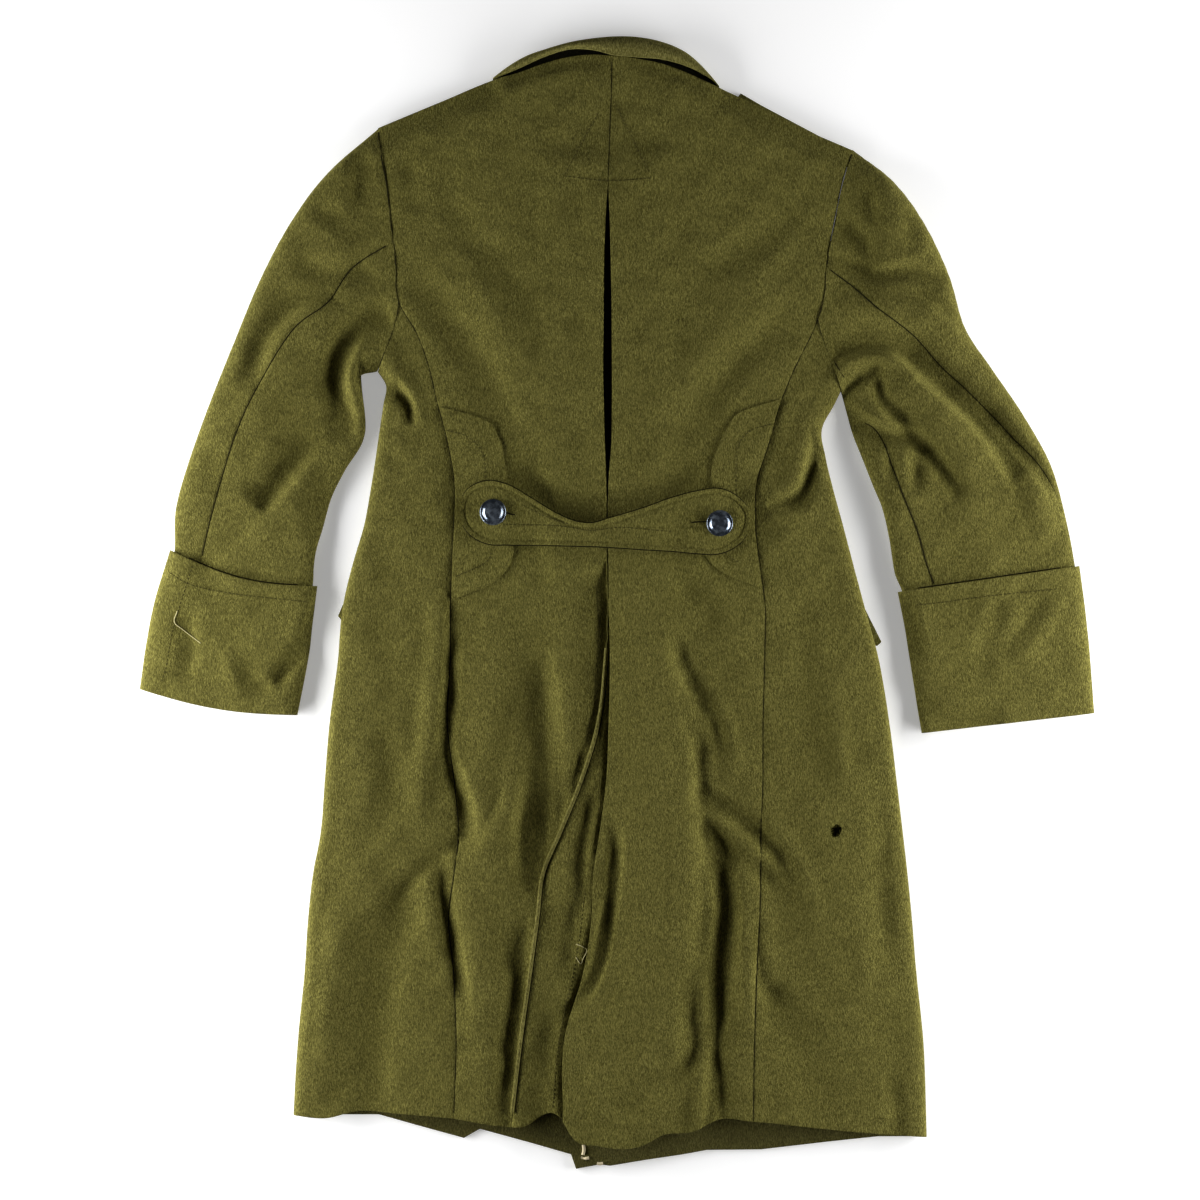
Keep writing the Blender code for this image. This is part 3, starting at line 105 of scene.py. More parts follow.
# Rolled edges, each at most a share of its panel's or tube's width
SIDE_ROLL = 0.014
ROLL_LIMIT = 0.45
TUBE_ROLL_LIMIT = 0.30
ROLL_INSIDE = 0.0002
COLLAR_ROLL = 0.009
COLLAR_CREST = 0.0165
COLLAR_END_TOP = 2 * CLOTH + 0.0012
COLLAR_EDGE_DROP = 0.0016
COLLAR_RISE_RATE = 1.4
COLLAR_UNDER_RUN = 0.036
COLLAR_UNDER_LEAST = 0.004
UNDERARM_SHARE = 0.16
UNDER_STRIP = 0.010
UNDER_STRIP_FADE = 0.024

# Grid sizes, in cells
ARMHOLE_ROWS = 62
SIDE_ROWS = 236
BACK_ROWS = ARMHOLE_ROWS + SIDE_ROWS
BACK_COLUMNS = 84
SIDE_COLUMNS = 34
ROLL_CELLS = 12
UNDER_CELLS = 2
SIDE_CELLS = SIDE_COLUMNS + ROLL_CELLS + UNDER_CELLS
INSERT_COLUMNS = 12
INSERT_ROWS = 90
UNDERLAP_COLUMNS = 28
UNDERLAP_ROWS = 180
SLEEVE_GRID = (84, 130)
CUFF_ROWS = 36
CUFF_STEPS = 150
COLLAR_COLUMNS = 90
COLLAR_TOP_COLUMNS = 14
COLLAR_CELLS = COLLAR_TOP_COLUMNS + ROLL_CELLS + UNDER_CELLS
BELT_COLUMNS = 120
BELT_ROWS = 44
PATCH_ROWS = 70
PATCH_COLUMNS = 26
EDGE_CROWDING = 0.75
MERGE_DISTANCE = 1e-6

# Walls of smaller pieces
BELT_THICKNESS = 0.0045
PATCH_THICKNESS = 0.0013
PATCH_GAP = 0.0003
PATCH_SEAM_INSET = 0.001

# Buttons
BUTTON_RADIUS = 0.0132
BUTTON_HEIGHT = 0.007
BUTTON_STEPS = 64
BUTTON_SINK = 0.0006
BUTTON_RIGHT_TILT = math.radians(6)

# Seams, edges and the small unevenness of lying cloth
LOFT = 0.0035
SLEEVE_LOFT = 0.0045
SLEEVE_LOFT_START = 0.240
SLEEVE_LOFT_FADE = 0.035
SLEEVE_LOFT_LOW = 0.030
SLEEVE_LOFT_RISE = 0.080
SEAM_DIP = 0.0009
SEAM_DIP_REACH = 0.0030
EDGE_ROUNDING = 0.0007
ROUNDING_SEGMENTS = 3
ROUNDING_ANGLE = math.radians(60)
SOFT_CONTACT = 0.0012

# Edges of the two back panels: armholes above the side-back seams, slit and vent edges at the centre
BackRow = namedtuple("BackRow", "y outer_left centre_left centre_right outer_right")
BACK_EDGES = (
    BackRow(0.5460, -0.2430, -0.0047, -0.0049, 0.2520),
    BackRow(0.4800, -0.2392, -0.0067, -0.0069, 0.2430),
    BackRow(0.4500, -0.2360, -0.0078, -0.0080, 0.2347),
    BackRow(0.4170, -0.2300, -0.0094, -0.0086, 0.2252),
    BackRow(0.3810, -0.2260, -0.0116, -0.0072, 0.2178),
    BackRow(0.3400, -0.2212, -0.0130, -0.0062, 0.2098),
    BackRow(0.3010, -0.2183, -0.0133, -0.0055, 0.2060),
    BackRow(0.2700, -0.2004, -0.0135, -0.0052, 0.1950),
    BackRow(0.2400, -0.1890, -0.0140, -0.0050, 0.1800),
    BackRow(0.2000, -0.1795, -0.0133, -0.0050, 0.1634),
    BackRow(0.1600, -0.1690, -0.0123, -0.0056, 0.1520),
    BackRow(0.1200, -0.1625, -0.0108, -0.0085, 0.1395),
    BackRow(0.0800, -0.1630, -0.0105, -0.0092, 0.1380),
    BackRow(0.0400, -0.1650, -0.0101, -0.0085, 0.1420),
    BackRow(0.0000, -0.1660, -0.0095, -0.0080, 0.1475),
    BackRow(-0.0600, -0.1665, -0.0118, -0.0070, 0.1470),
    BackRow(-0.1200, -0.1695, -0.0190, -0.0083, 0.1455),
    BackRow(-0.1800, -0.1623, -0.0370, -0.0110, 0.1453),
    BackRow(-0.2300, -0.1582, -0.0575, -0.0175, 0.1435),
    BackRow(-0.2700, -0.1625, -0.0740, -0.0235, 0.1434),
    BackRow(-0.3100, -0.1680, -0.0790, -0.0250, 0.1423),
    BackRow(-0.3700, -0.1630, -0.0870, -0.0340, 0.1393),
    BackRow(-0.4300, -0.1605, -0.0955, -0.0515, 0.1372),
    BackRow(-0.5200, -0.1630, -0.1060, -0.0540, 0.1357),
)

# Outlines of the body's sides, below the underarms
SideRow = namedtuple("SideRow", "y left right")
SIDE_EDGES = (
    SideRow(0.2310, -0.2390, 0.2300),
    SideRow(0.2180, -0.2310, 0.2262),
    SideRow(0.2000, -0.2330, 0.2180),
    SideRow(0.1730, -0.2370, 0.2045),
    SideRow(0.1450, -0.2410, 0.2085),
    SideRow(0.1130, -0.2460, 0.2160),
    SideRow(0.0800, -0.2520, 0.2250),
    SideRow(0.0400, -0.2635, 0.2355),
    SideRow(0.0000, -0.2730, 0.2460),
    SideRow(-0.0600, -0.2790, 0.2620),
    SideRow(-0.1200, -0.2870, 0.2720),
    SideRow(-0.1800, -0.2920, 0.2795),
    SideRow(-0.2300, -0.2960, 0.2855),
    SideRow(-0.2700, -0.3035, 0.2900),
    SideRow(-0.3100, -0.3080, 0.2940),
    SideRow(-0.3700, -0.3120, 0.2990),
    SideRow(-0.4300, -0.3180, 0.3053),
    SideRow(-0.5400, -0.3240, 0.3100),
)

# Shoulder and neck edge of the backs, from the left sleeve head to the right one
EdgeRow = namedtuple("EdgeRow", "x y")
TOP_EDGE = (
    EdgeRow(-0.2390, 0.4740),
    EdgeRow(-0.1740, 0.5010),
    EdgeRow(-0.1230, 0.5220),
    EdgeRow(-0.0960, 0.5300),
    EdgeRow(-0.0710, 0.5390),
    EdgeRow(-0.0460, 0.5450),
    EdgeRow(-0.0210, 0.5470),
    EdgeRow(-0.0040, 0.5456),
    EdgeRow(0.0200, 0.5430),
    EdgeRow(0.0450, 0.5380),
    EdgeRow(0.0670, 0.5300),
    EdgeRow(0.0870, 0.5210),
    EdgeRow(0.1020, 0.5143),
    EdgeRow(0.1470, 0.4930),
    EdgeRow(0.1890, 0.4720),
    EdgeRow(0.2350, 0.4520),
)

# Hem of the backs and of the side runs of the fronts, on the upper layer
UPPER_HEM = (
    EdgeRow(-0.3240, -0.5110),
    EdgeRow(-0.2890, -0.5135),
    EdgeRow(-0.2610, -0.5070),
    EdgeRow(-0.2220, -0.5090),
    EdgeRow(-0.1650, -0.5140),
    EdgeRow(-0.0960, -0.5230),
    EdgeRow(-0.0540, -0.5165),
    EdgeRow(-0.0470, -0.5290),
    EdgeRow(-0.0170, -0.5410),
    EdgeRow(0.0290, -0.5390),
    EdgeRow(0.0430, -0.5310),
    EdgeRow(0.0750, -0.5270),
    EdgeRow(0.1020, -0.5150),
    EdgeRow(0.1355, -0.5170),
    EdgeRow(0.2130, -0.5250),
    EdgeRow(0.3100, -0.5330),
)

# Hem of the fronts' undersides, which hang lower than the backs
LOWER_HEM_LEFT = (
    EdgeRow(-0.2380, -0.5110),
    EdgeRow(-0.1990, -0.5220),
    EdgeRow(-0.1530, -0.5346),
    EdgeRow(-0.1370, -0.5255),
    EdgeRow(-0.0840, -0.5400),
    EdgeRow(-0.0460, -0.5510),
    EdgeRow(-0.0410, -0.5655),
    EdgeRow(-0.0220, -0.5620),
)
LOWER_HEM_RIGHT = (
    EdgeRow(-0.0210, -0.5600),
    EdgeRow(-0.0070, -0.5620),
    EdgeRow(0.0290, -0.5560),
    EdgeRow(0.0630, -0.5510),
    EdgeRow(0.0910, -0.5465),
    EdgeRow(0.1440, -0.5460),
    EdgeRow(0.2130, -0.5380),
)

# Undersides of the fronts: the left one lies on the floor, the right one laps over it
LEFT_FRONT_EDGE = 0.060
RIGHT_FRONT_EDGE = -0.060
LAP_RAMP_START = 0.065
LAP_RAMP_END = 0.090
LAP_FADE = 0.012
RAMP_HEM_MARGIN = 0.010
LEFT_ARMHOLE_TOP = 0.425
RIGHT_ARMHOLE_TOP = 0.400
LEFT_FRONT_NECK = (
    EdgeRow(-0.1150, 0.4850),
    EdgeRow(-0.0800, 0.4700),
    EdgeRow(-0.0300, 0.4450),
    EdgeRow(LEFT_FRONT_EDGE, 0.4250),
)
LEFT_FRONT_HEM_CORNER = EdgeRow(LEFT_FRONT_EDGE, -0.545)
RIGHT_FRONT_NECK = (
    EdgeRow(LAP_RAMP_END, 0.4720),
    EdgeRow(LAP_RAMP_START, 0.4500),
    EdgeRow(0.0300, 0.4280),
    EdgeRow(RIGHT_FRONT_EDGE, 0.4300),
)
RIGHT_FRONT_HEM_CORNER = EdgeRow(-0.036, -0.552)
UNDERSIDE_ARMHOLE_START = 0.012
UNDERSIDE_ARMHOLE_STEPS = 7
UNDERSIDE_INSET = 0.0032
STRAP_CLEARANCE = 0.0012

# Faces that show the inside of the cloth, which get painted shade: least upward turn, and least area on a
# front
FACING_UP = 0.5
PLATE_AREA = 0.002

# Hole worn through the right front's side run
HOLE_CENTRE = (0.2183, -0.2270)
HOLE_RADIUS = 0.0052
HOLE_STRETCH = 1.28
HOLE_SIDES = 28
HoleWave = namedtuple("HoleWave", "height count start")
HOLE_WAVES = (HoleWave(0.10, 2, 0.5), HoleWave(0.07, 5, 0.0))
HOLE_CUTTER_FLOOR = CLOTH + 0.001
HOLE_CUTTER_DEPTH = 0.020

# Sleeve sections, armhole to cuff: outer and inner fold, back and front seam as shares of the way round
# (0 is the outer fold, 1 the inner fold, 1 to 2 the underside back to the outer fold)
SleeveRow = namedtuple("SleeveRow", "outer_x outer_y inner_x inner_y back_seam front_seam")
LEFT_SLEEVE = (
    SleeveRow(-0.239, 0.474, -0.240, 0.231, 0.47, 1.50),
    SleeveRow(-0.290, 0.428, -0.258, 0.224, 0.46, 1.50),
    SleeveRow(-0.325, 0.381, -0.252, 0.192, 0.44, 1.50),
    SleeveRow(-0.355, 0.325, -0.253, 0.163, 0.33, 1.50),
    SleeveRow(-0.383, 0.258, -0.272, 0.131, 0.27, 1.50),
    SleeveRow(-0.405, 0.203, -0.285, 0.105, 0.24, 1.50),
    SleeveRow(-0.426, 0.145, -0.293, 0.077, 0.24, 1.50),
    SleeveRow(-0.440, 0.095, -0.301, 0.048, 0.24, 1.50),
    SleeveRow(-0.4415, 0.053, -0.3035, 0.018, 0.18, 1.50),
    SleeveRow(-0.4470, 0.026, -0.3080, -0.010, 0.15, 1.50),
)
RIGHT_SLEEVE = (
    SleeveRow(0.235, 0.453, 0.2310, 0.2180, 0.50, 1.40),
    SleeveRow(0.275, 0.421, 0.227, 0.203, 0.48, 1.22),
    SleeveRow(0.305, 0.381, 0.231, 0.184, 0.46, 1.04),
    SleeveRow(0.331, 0.328, 0.236, 0.166, 0.38, 0.90),
    SleeveRow(0.347, 0.275, 0.244, 0.146, 0.27, 0.83),
    SleeveRow(0.373, 0.235, 0.255, 0.118, 0.20, 0.84),
    SleeveRow(0.405, 0.188, 0.265, 0.093, 0.14, 0.855),
    SleeveRow(0.433, 0.137, 0.272, 0.062, 0.08, 0.83),
    SleeveRow(0.448, 0.083, 0.277, 0.030, 0.03, 0.81),
    SleeveRow(0.457, 0.037, 0.2845, 0.011, 0.02, 0.81),
    SleeveRow(0.4600, 0.010, 0.2900, -0.017, 0.02, 0.81),
)
ROLL_SHARE = 0.12
ARMHOLE_BLEND = 0.34
ARMHOLE_CURVE = 1.5
CUFF_LIFT_START = 0.68
CUFF_LIFT_END = 0.84
CUFF_LIFT = LAYER + SEAM_GAP
CUFF_CLEARANCE = 0.0003
CUFF_COVER_END = 0.32
CUFF_MOUTH_START = 0.85
SLEEVE_INSIDE = 0.0003
TUBE_ROLL = 0.020
SLEEVE_BREADTH = 0.16

# Cuff sections, sleeve seam to open end, with the sag of each section's middle
CuffRow = namedtuple("CuffRow", "outer_x outer_y inner_x inner_y sag")
LEFT_CUFF = (
    CuffRow(-0.446, 0.053, -0.299, 0.017, 0.011),
    CuffRow(-0.461, 0.004, -0.304, -0.022, 0.010),
    CuffRow(-0.470, -0.040, -0.308, -0.055, 0.009),
    CuffRow(-0.4765, -0.086, -0.319, -0.112, 0.007),
)
RIGHT_CUFF = (
    CuffRow(0.4615, 0.037, 0.280, 0.011, 0.0),
    CuffRow(0.4665, 0.000, 0.287, -0.024, 0.0),
    CuffRow(0.4715, -0.045, 0.2935, -0.065, 0.0),
    CuffRow(0.4765, -0.110, 0.304, -0.130, 0.0),
)

# Outline of the rolled collar and the dark gap between it and the neck edge
CollarRow = namedtuple("CollarRow", "x outline gap")
COLLAR = (
    CollarRow(-0.1240, 0.5245, 0.0002),
    CollarRow(-0.1070, 0.5370, 0.0026),
    CollarRow(-0.0910, 0.5460, 0.0044),
    CollarRow(-0.0710, 0.5530, 0.0060),
    CollarRow(-0.0460, 0.5600, 0.0068),
    CollarRow(-0.0210, 0.5640, 0.0034),
    CollarRow(-0.0040, 0.5655, 0.0004),
    CollarRow(0.0200, 0.5650, 0.0008),
    CollarRow(0.0420, 0.5610, 0.0034),
    CollarRow(0.0590, 0.5550, 0.0054),
    CollarRow(0.0700, 0.5490, 0.0062),
    CollarRow(0.0840, 0.5370, 0.0060),
    CollarRow(0.0950, 0.5250, 0.0040),
    CollarRow(0.1020, 0.5165, 0.0002),
)

# Half belt: its lower and upper edge along the waist
BeltRow = namedtuple("BeltRow", "x low high")
BELT = (
    BeltRow(-0.1564, 0.0890, 0.0950),
    BeltRow(-0.1555, 0.0840, 0.1000),
    BeltRow(-0.1537, 0.0784, 0.1058),
    BeltRow(-0.1510, 0.0735, 0.1105),
    BeltRow(-0.1475, 0.0692, 0.1141),
    BeltRow(-0.1430, 0.0655, 0.1170),
    BeltRow(-0.1300, 0.0595, 0.1213),
    BeltRow(-0.1100, 0.0583, 0.1180),
    BeltRow(-0.0850, 0.0580, 0.1040),
    BeltRow(-0.0620, 0.0576, 0.0900),
    BeltRow(-0.0390, 0.0570, 0.0805),
    BeltRow(-0.0280, 0.0568, 0.0792),
    BeltRow(-0.0050, 0.0556, 0.0850),
    BeltRow(0.0290, 0.0534, 0.0954),
    BeltRow(0.0540, 0.0520, 0.1045),
    BeltRow(0.0840, 0.0494, 0.1120),
    BeltRow(0.0980, 0.0490, 0.1138),
    BeltRow(0.1120, 0.0530, 0.1105),
    BeltRow(0.1220, 0.0595, 0.1040),
    BeltRow(0.1262, 0.0640, 0.1000),
    BeltRow(0.1290, 0.0690, 0.0960),
    BeltRow(0.1308, 0.0745, 0.0922),
    BeltRow(0.1320, 0.0815, 0.0875),
)
BELT_MIDDLE = -0.012
BELT_BUCKLE = 0.007
BELT_BUCKLE_REACH = 0.070
BELT_PATCH_START = 0.35
BELT_PATCH_RATE = 1.5
BELT_END_CROWDING = 0.5
BELT_ROUNDING = 0.0018
BELT_OUTLINE_STEPS = 400
BELT_RIM = 0.0009
BELT_RIM_REACH = 0.0032
BELT_CHANNEL = 0.0009
BELT_CHANNEL_PLACE = 0.0048
BELT_CHANNEL_REACH = 0.0014
BUTTON_LEFT = (-0.1235, 0.0905)
BUTTON_RIGHT = (0.1022, 0.0795)

# Waist patches: D shapes against the side-back seams, from their upper to their lower end
PatchRow = namedtuple("PatchRow", "y reach")
LEFT_PATCH = (
    PatchRow(0.1945, 0.0050),
    PatchRow(0.1850, 0.0380),
    PatchRow(0.1660, 0.0520),
    PatchRow(0.1400, 0.0530),
    PatchRow(0.1000, 0.0550),
    PatchRow(0.0600, 0.0620),
    PatchRow(0.0380, 0.0580),
    PatchRow(0.0190, 0.0400),
    PatchRow(0.0045, 0.0050),
)
RIGHT_PATCH = (
    PatchRow(0.2020, 0.0050),
    PatchRow(0.1920, 0.0340),
    PatchRow(0.1740, 0.0460),
    PatchRow(0.1450, 0.0500),
    PatchRow(0.1000, 0.0420),
    PatchRow(0.0480, 0.0530),
    PatchRow(0.0370, 0.0460),
    PatchRow(0.0260, 0.0300),
    PatchRow(0.0160, 0.0050),
)

# Outlines of the flat tabs that lie under the fronts' edges
STRAP_RIGHT = (
    EdgeRow(0.1190, 0.5030),
    EdgeRow(0.1235, 0.5095),
    EdgeRow(0.1440, 0.4975),
    EdgeRow(0.2250, 0.4545),
    EdgeRow(0.2080, 0.4180),
    EdgeRow(0.1010, 0.4680),
)
STRAP_LEFT = (
    EdgeRow(-0.1400, 0.5140),
    EdgeRow(-0.2280, 0.4765),
    EdgeRow(-0.2140, 0.4400),
    EdgeRow(-0.1250, 0.4760),
)
FLAP_LEFT = (
    EdgeRow(-0.2660, 0.0170),
    EdgeRow(-0.2790, -0.0130),
    EdgeRow(-0.2740, -0.0190),
    EdgeRow(-0.2610, -0.0170),
    EdgeRow(-0.2540, 0.0150),
)
FLAP_RIGHT = (
    EdgeRow(0.2420, 0.0060),
    EdgeRow(0.2645, -0.0390),
    EdgeRow(0.2600, -0.0430),
    EdgeRow(0.2450, -0.0400),
    EdgeRow(0.2310, 0.0030),
)
FLAP_THICKNESS = 0.0026
FLAP_LIFT = 0.0033
FLAP_MIDDLE_LEFT = -0.002
FLAP_MIDDLE_RIGHT = -0.020
FLAP_LIFT_REACH = 0.055
FLAP_LIFT_RATE = 1.6

# Folds of the upper cloth: a smooth path, its height (troughs are negative) and the widths of its two
# flanks, left and right of the way it runs
Fold = namedtuple("Fold", "path height left right")
BROAD_FOLDS = (
    # Skirt, from left to right
    Fold(((-0.250, -0.030), (-0.258, -0.150), (-0.250, -0.300)), 0.0026, 0.030, 0.040),
    Fold(((-0.125, -0.005), (-0.130, -0.130), (-0.120, -0.270)), 0.0042, 0.040, 0.034),
    Fold(((-0.132, -0.240), (-0.131, -0.380), (-0.128, -0.530)), 0.0042, 0.034, 0.034),
    Fold(((-0.052, 0.035), (-0.050, -0.060), (-0.052, -0.130), (-0.062, -0.190)), 0.0046, 0.024, 0.026),
    Fold(((0.036, 0.020), (0.044, -0.120), (0.050, -0.260), (0.046, -0.400), (0.030, -0.600)),
         0.0080, 0.042, 0.060),
    Fold(((0.130, -0.230), (0.134, -0.350), (0.132, -0.530)), 0.0034, 0.022, 0.022),
    Fold(((0.214, -0.010), (0.226, -0.250), (0.232, -0.540)), 0.0036, 0.055, 0.055),
    Fold(((-0.262, -0.290), (-0.280, -0.340), (-0.292, -0.420), (-0.300, -0.500)), 0.0048, 0.022, 0.026),
    # Upper back
    Fold(((-0.155, 0.345), (-0.112, 0.270), (-0.068, 0.195)), 0.0036, 0.038, 0.038),
    Fold(((0.160, 0.335), (0.100, 0.262), (0.050, 0.185)), 0.0036, 0.038, 0.038),
    # Sleeves
    Fold(((-0.300, 0.420), (-0.285, 0.376), (-0.262, 0.345)), 0.0012, 0.040, 0.040),
    Fold(((-0.280, 0.300), (-0.320, 0.255), (-0.355, 0.205), (-0.390, 0.140)), 0.0044, 0.036, 0.032),
    Fold(((-0.320, 0.110), (-0.360, 0.075), (-0.400, 0.030)), 0.0032, 0.045, 0.045),
    Fold(((0.250, 0.410), (0.285, 0.380), (0.312, 0.350)), 0.0040, 0.036, 0.036),
    Fold(((0.225, 0.302), (0.290, 0.292), (0.345, 0.258)), 0.0044, 0.022, 0.026),
    Fold(((0.330, 0.100), (0.368, 0.050), (0.395, 0.010)), 0.0032, 0.050, 0.050),
    # Pocket flaps lifting the sides
    Fold(((-0.250, 0.050), (-0.256, 0.000), (-0.262, -0.050)), 0.0030, 0.026, 0.026),
    Fold(((0.226, 0.030), (0.238, -0.020), (0.248, -0.070)), 0.0030, 0.026, 0.026),
)
LEFT_SKIRT_FOLDS = (
    Fold(((-0.176, 0.005), (-0.180, -0.060), (-0.186, -0.120), (-0.194, -0.175), (-0.198, -0.225)),
         0.0047, 0.012, 0.018),
    Fold(((-0.164, 0.020), (-0.165, -0.060), (-0.168, -0.110), (-0.170, -0.145), (-0.162, -0.172),
          (-0.152, -0.200), (-0.150, -0.226), (-0.164, -0.248)), -0.0045, 0.013, 0.011),
    Fold(((-0.158, -0.236), (-0.184, -0.258), (-0.210, -0.284), (-0.230, -0.318)), -0.0047, 0.012, 0.014),
    Fold(((-0.205, -0.275), (-0.226, -0.340), (-0.240, -0.410), (-0.252, -0.620)), -0.0071, 0.030, 0.036),
    Fold(((-0.174, -0.252), (-0.173, -0.290), (-0.166, -0.330), (-0.159, -0.362), (-0.152, -0.400)),
         -0.0045, 0.012, 0.011),
    Fold(((-0.190, -0.262), (-0.188, -0.300), (-0.178, -0.360)), 0.0021, 0.014, 0.016),
    Fold(((-0.152, -0.250), (-0.150, -0.300), (-0.142, -0.350), (-0.138, -0.400), (-0.142, -0.440)),
         0.0017, 0.016, 0.014),
    Fold(((-0.154, -0.148), (-0.143, -0.180), (-0.134, -0.210), (-0.128, -0.240)), 0.0017, 0.016, 0.014),
    Fold(((-0.090, -0.130), (-0.099, -0.180), (-0.111, -0.212), (-0.127, -0.240), (-0.146, -0.262)),
         0.0047, 0.018, 0.016),
    Fold(((-0.102, -0.060), (-0.108, -0.110), (-0.118, -0.160), (-0.124, -0.190)), -0.0024, 0.012, 0.014),
    Fold(((-0.100, -0.140), (-0.092, -0.195), (-0.090, -0.240), (-0.096, -0.290)), -0.0045, 0.016, 0.018),
    Fold(((-0.082, -0.050), (-0.075, -0.120), (-0.070, -0.165), (-0.074, -0.210), (-0.080, -0.250),
          (-0.074, -0.300)), -0.0094, 0.028, 0.032),
    Fold(((-0.034, -0.145), (-0.038, -0.166), (-0.046, -0.185)), -0.0031, 0.010, 0.012),
    Fold(((-0.092, -0.300), (-0.098, -0.390), (-0.104, -0.440), (-0.109, -0.490), (-0.114, -0.600)),
         -0.0061, 0.012, 0.024),
    Fold(((-0.122, -0.300), (-0.117, -0.335), (-0.110, -0.370)), -0.0019, 0.014, 0.014),
    Fold(((-0.236, -0.120), (-0.226, -0.165), (-0.238, -0.215), (-0.262, -0.250)), -0.0024, 0.018, 0.020),
    Fold(((-0.158, -0.436), (-0.135, -0.446), (-0.112, -0.440)), -0.0017, 0.012, 0.012),
)
RIGHT_SKIRT_FOLDS = (
    Fold(((0.054, -0.030), (0.064, -0.062), (0.080, -0.089), (0.096, -0.112), (0.108, -0.150)),
         -0.0035, 0.013, 0.013),
    Fold(((0.050, -0.075), (0.047, -0.105), (0.052, -0.135), (0.066, -0.172)), -0.0017, 0.012, 0.012),
    Fold(((0.054, -0.135), (0.063, -0.110), (0.075, -0.114), (0.086, -0.138), (0.092, -0.165)),
         0.0017, 0.012, 0.012),
    Fold(((0.075, -0.115), (0.083, -0.148), (0.081, -0.175), (0.086, -0.205)), -0.0026, 0.012, 0.012),
    Fold(((0.094, -0.092), (0.108, -0.116), (0.116, -0.145), (0.114, -0.172)), 0.0024, 0.013, 0.013),
    Fold(((0.074, -0.186), (0.094, -0.200), (0.118, -0.212), (0.142, -0.230), (0.162, -0.252),
          (0.182, -0.290)), -0.0052, 0.016, 0.016),
    Fold(((0.080, -0.218), (0.102, -0.240), (0.122, -0.256), (0.150, -0.272), (0.174, -0.302)),
         -0.0042, 0.013, 0.014),
    Fold(((0.092, -0.210), (0.116, -0.229), (0.142, -0.249), (0.166, -0.276)), 0.0017, 0.011, 0.011),
    Fold(((0.148, -0.215), (0.174, -0.246), (0.190, -0.280), (0.200, -0.325)), 0.0028, 0.016, 0.014),
    Fold(((0.090, -0.222), (0.103, -0.268), (0.108, -0.310), (0.103, -0.350), (0.098, -0.400),
          (0.096, -0.450), (0.098, -0.530)), -0.0092, 0.020, 0.015),
    Fold(((0.064, -0.130), (0.068, -0.190), (0.071, -0.250), (0.069, -0.310), (0.064, -0.370)),
         0.0031, 0.018, 0.024),
    Fold(((0.068, -0.360), (0.073, -0.415), (0.075, -0.440), (0.063, -0.464), (0.040, -0.484),
          (0.004, -0.506)), -0.0038, 0.018, 0.018),
    Fold(((0.086, -0.370), (0.089, -0.430), (0.083, -0.490), (0.076, -0.560)), 0.0040, 0.011, 0.012),
    Fold(((0.094, -0.460), (0.096, -0.505), (0.095, -0.560)), 0.0031, 0.010, 0.010),
    Fold(((0.126, -0.310), (0.130, -0.370), (0.128, -0.430)), 0.0026, 0.013, 0.013),
    Fold(((0.150, -0.300), (0.152, -0.345), (0.154, -0.385)), 0.0021, 0.011, 0.011),
    Fold(((0.142, -0.365), (0.154, -0.390), (0.176, -0.402)), -0.0024, 0.014, 0.016),
    Fold(((0.188, 0.010), (0.189, -0.050), (0.193, -0.100), (0.202, -0.140), (0.214, -0.180)),
         -0.0028, 0.018, 0.018),
    Fold(((0.216, -0.080), (0.222, -0.130), (0.224, -0.185)), 0.0026, 0.014, 0.014),
    Fold(((0.262, -0.205), (0.264, -0.275), (0.268, -0.350)), -0.0026, 0.016, 0.018),
    Fold(((0.060, 0.022), (0.084, 0.000), (0.100, -0.025)), -0.0024, 0.018, 0.018),
    Fold(((0.000, -0.220), (-0.003, -0.268), (-0.007, -0.300), (-0.013, -0.335), (-0.021, -0.368),
          (-0.034, -0.393), (-0.056, -0.415)), -0.0071, 0.011, 0.011),
    Fold(((-0.026, -0.262), (-0.024, -0.310), (-0.036, -0.362)), 0.0031, 0.009, 0.011),
    Fold(((-0.002, -0.420), (-0.018, -0.470), (-0.014, -0.520)), 0.0024, 0.016, 0.016),
    Fold(((0.240, -0.330), (0.247, -0.365), (0.244, -0.400)), 0.0021, 0.014, 0.014),
    Fold(((0.150, -0.400), (0.190, -0.440), (0.215, -0.520)), -0.0026, 0.030, 0.030),
    Fold(((0.270, -0.470), (0.278, -0.500), (0.280, -0.560)), -0.0028, 0.014, 0.014),
)
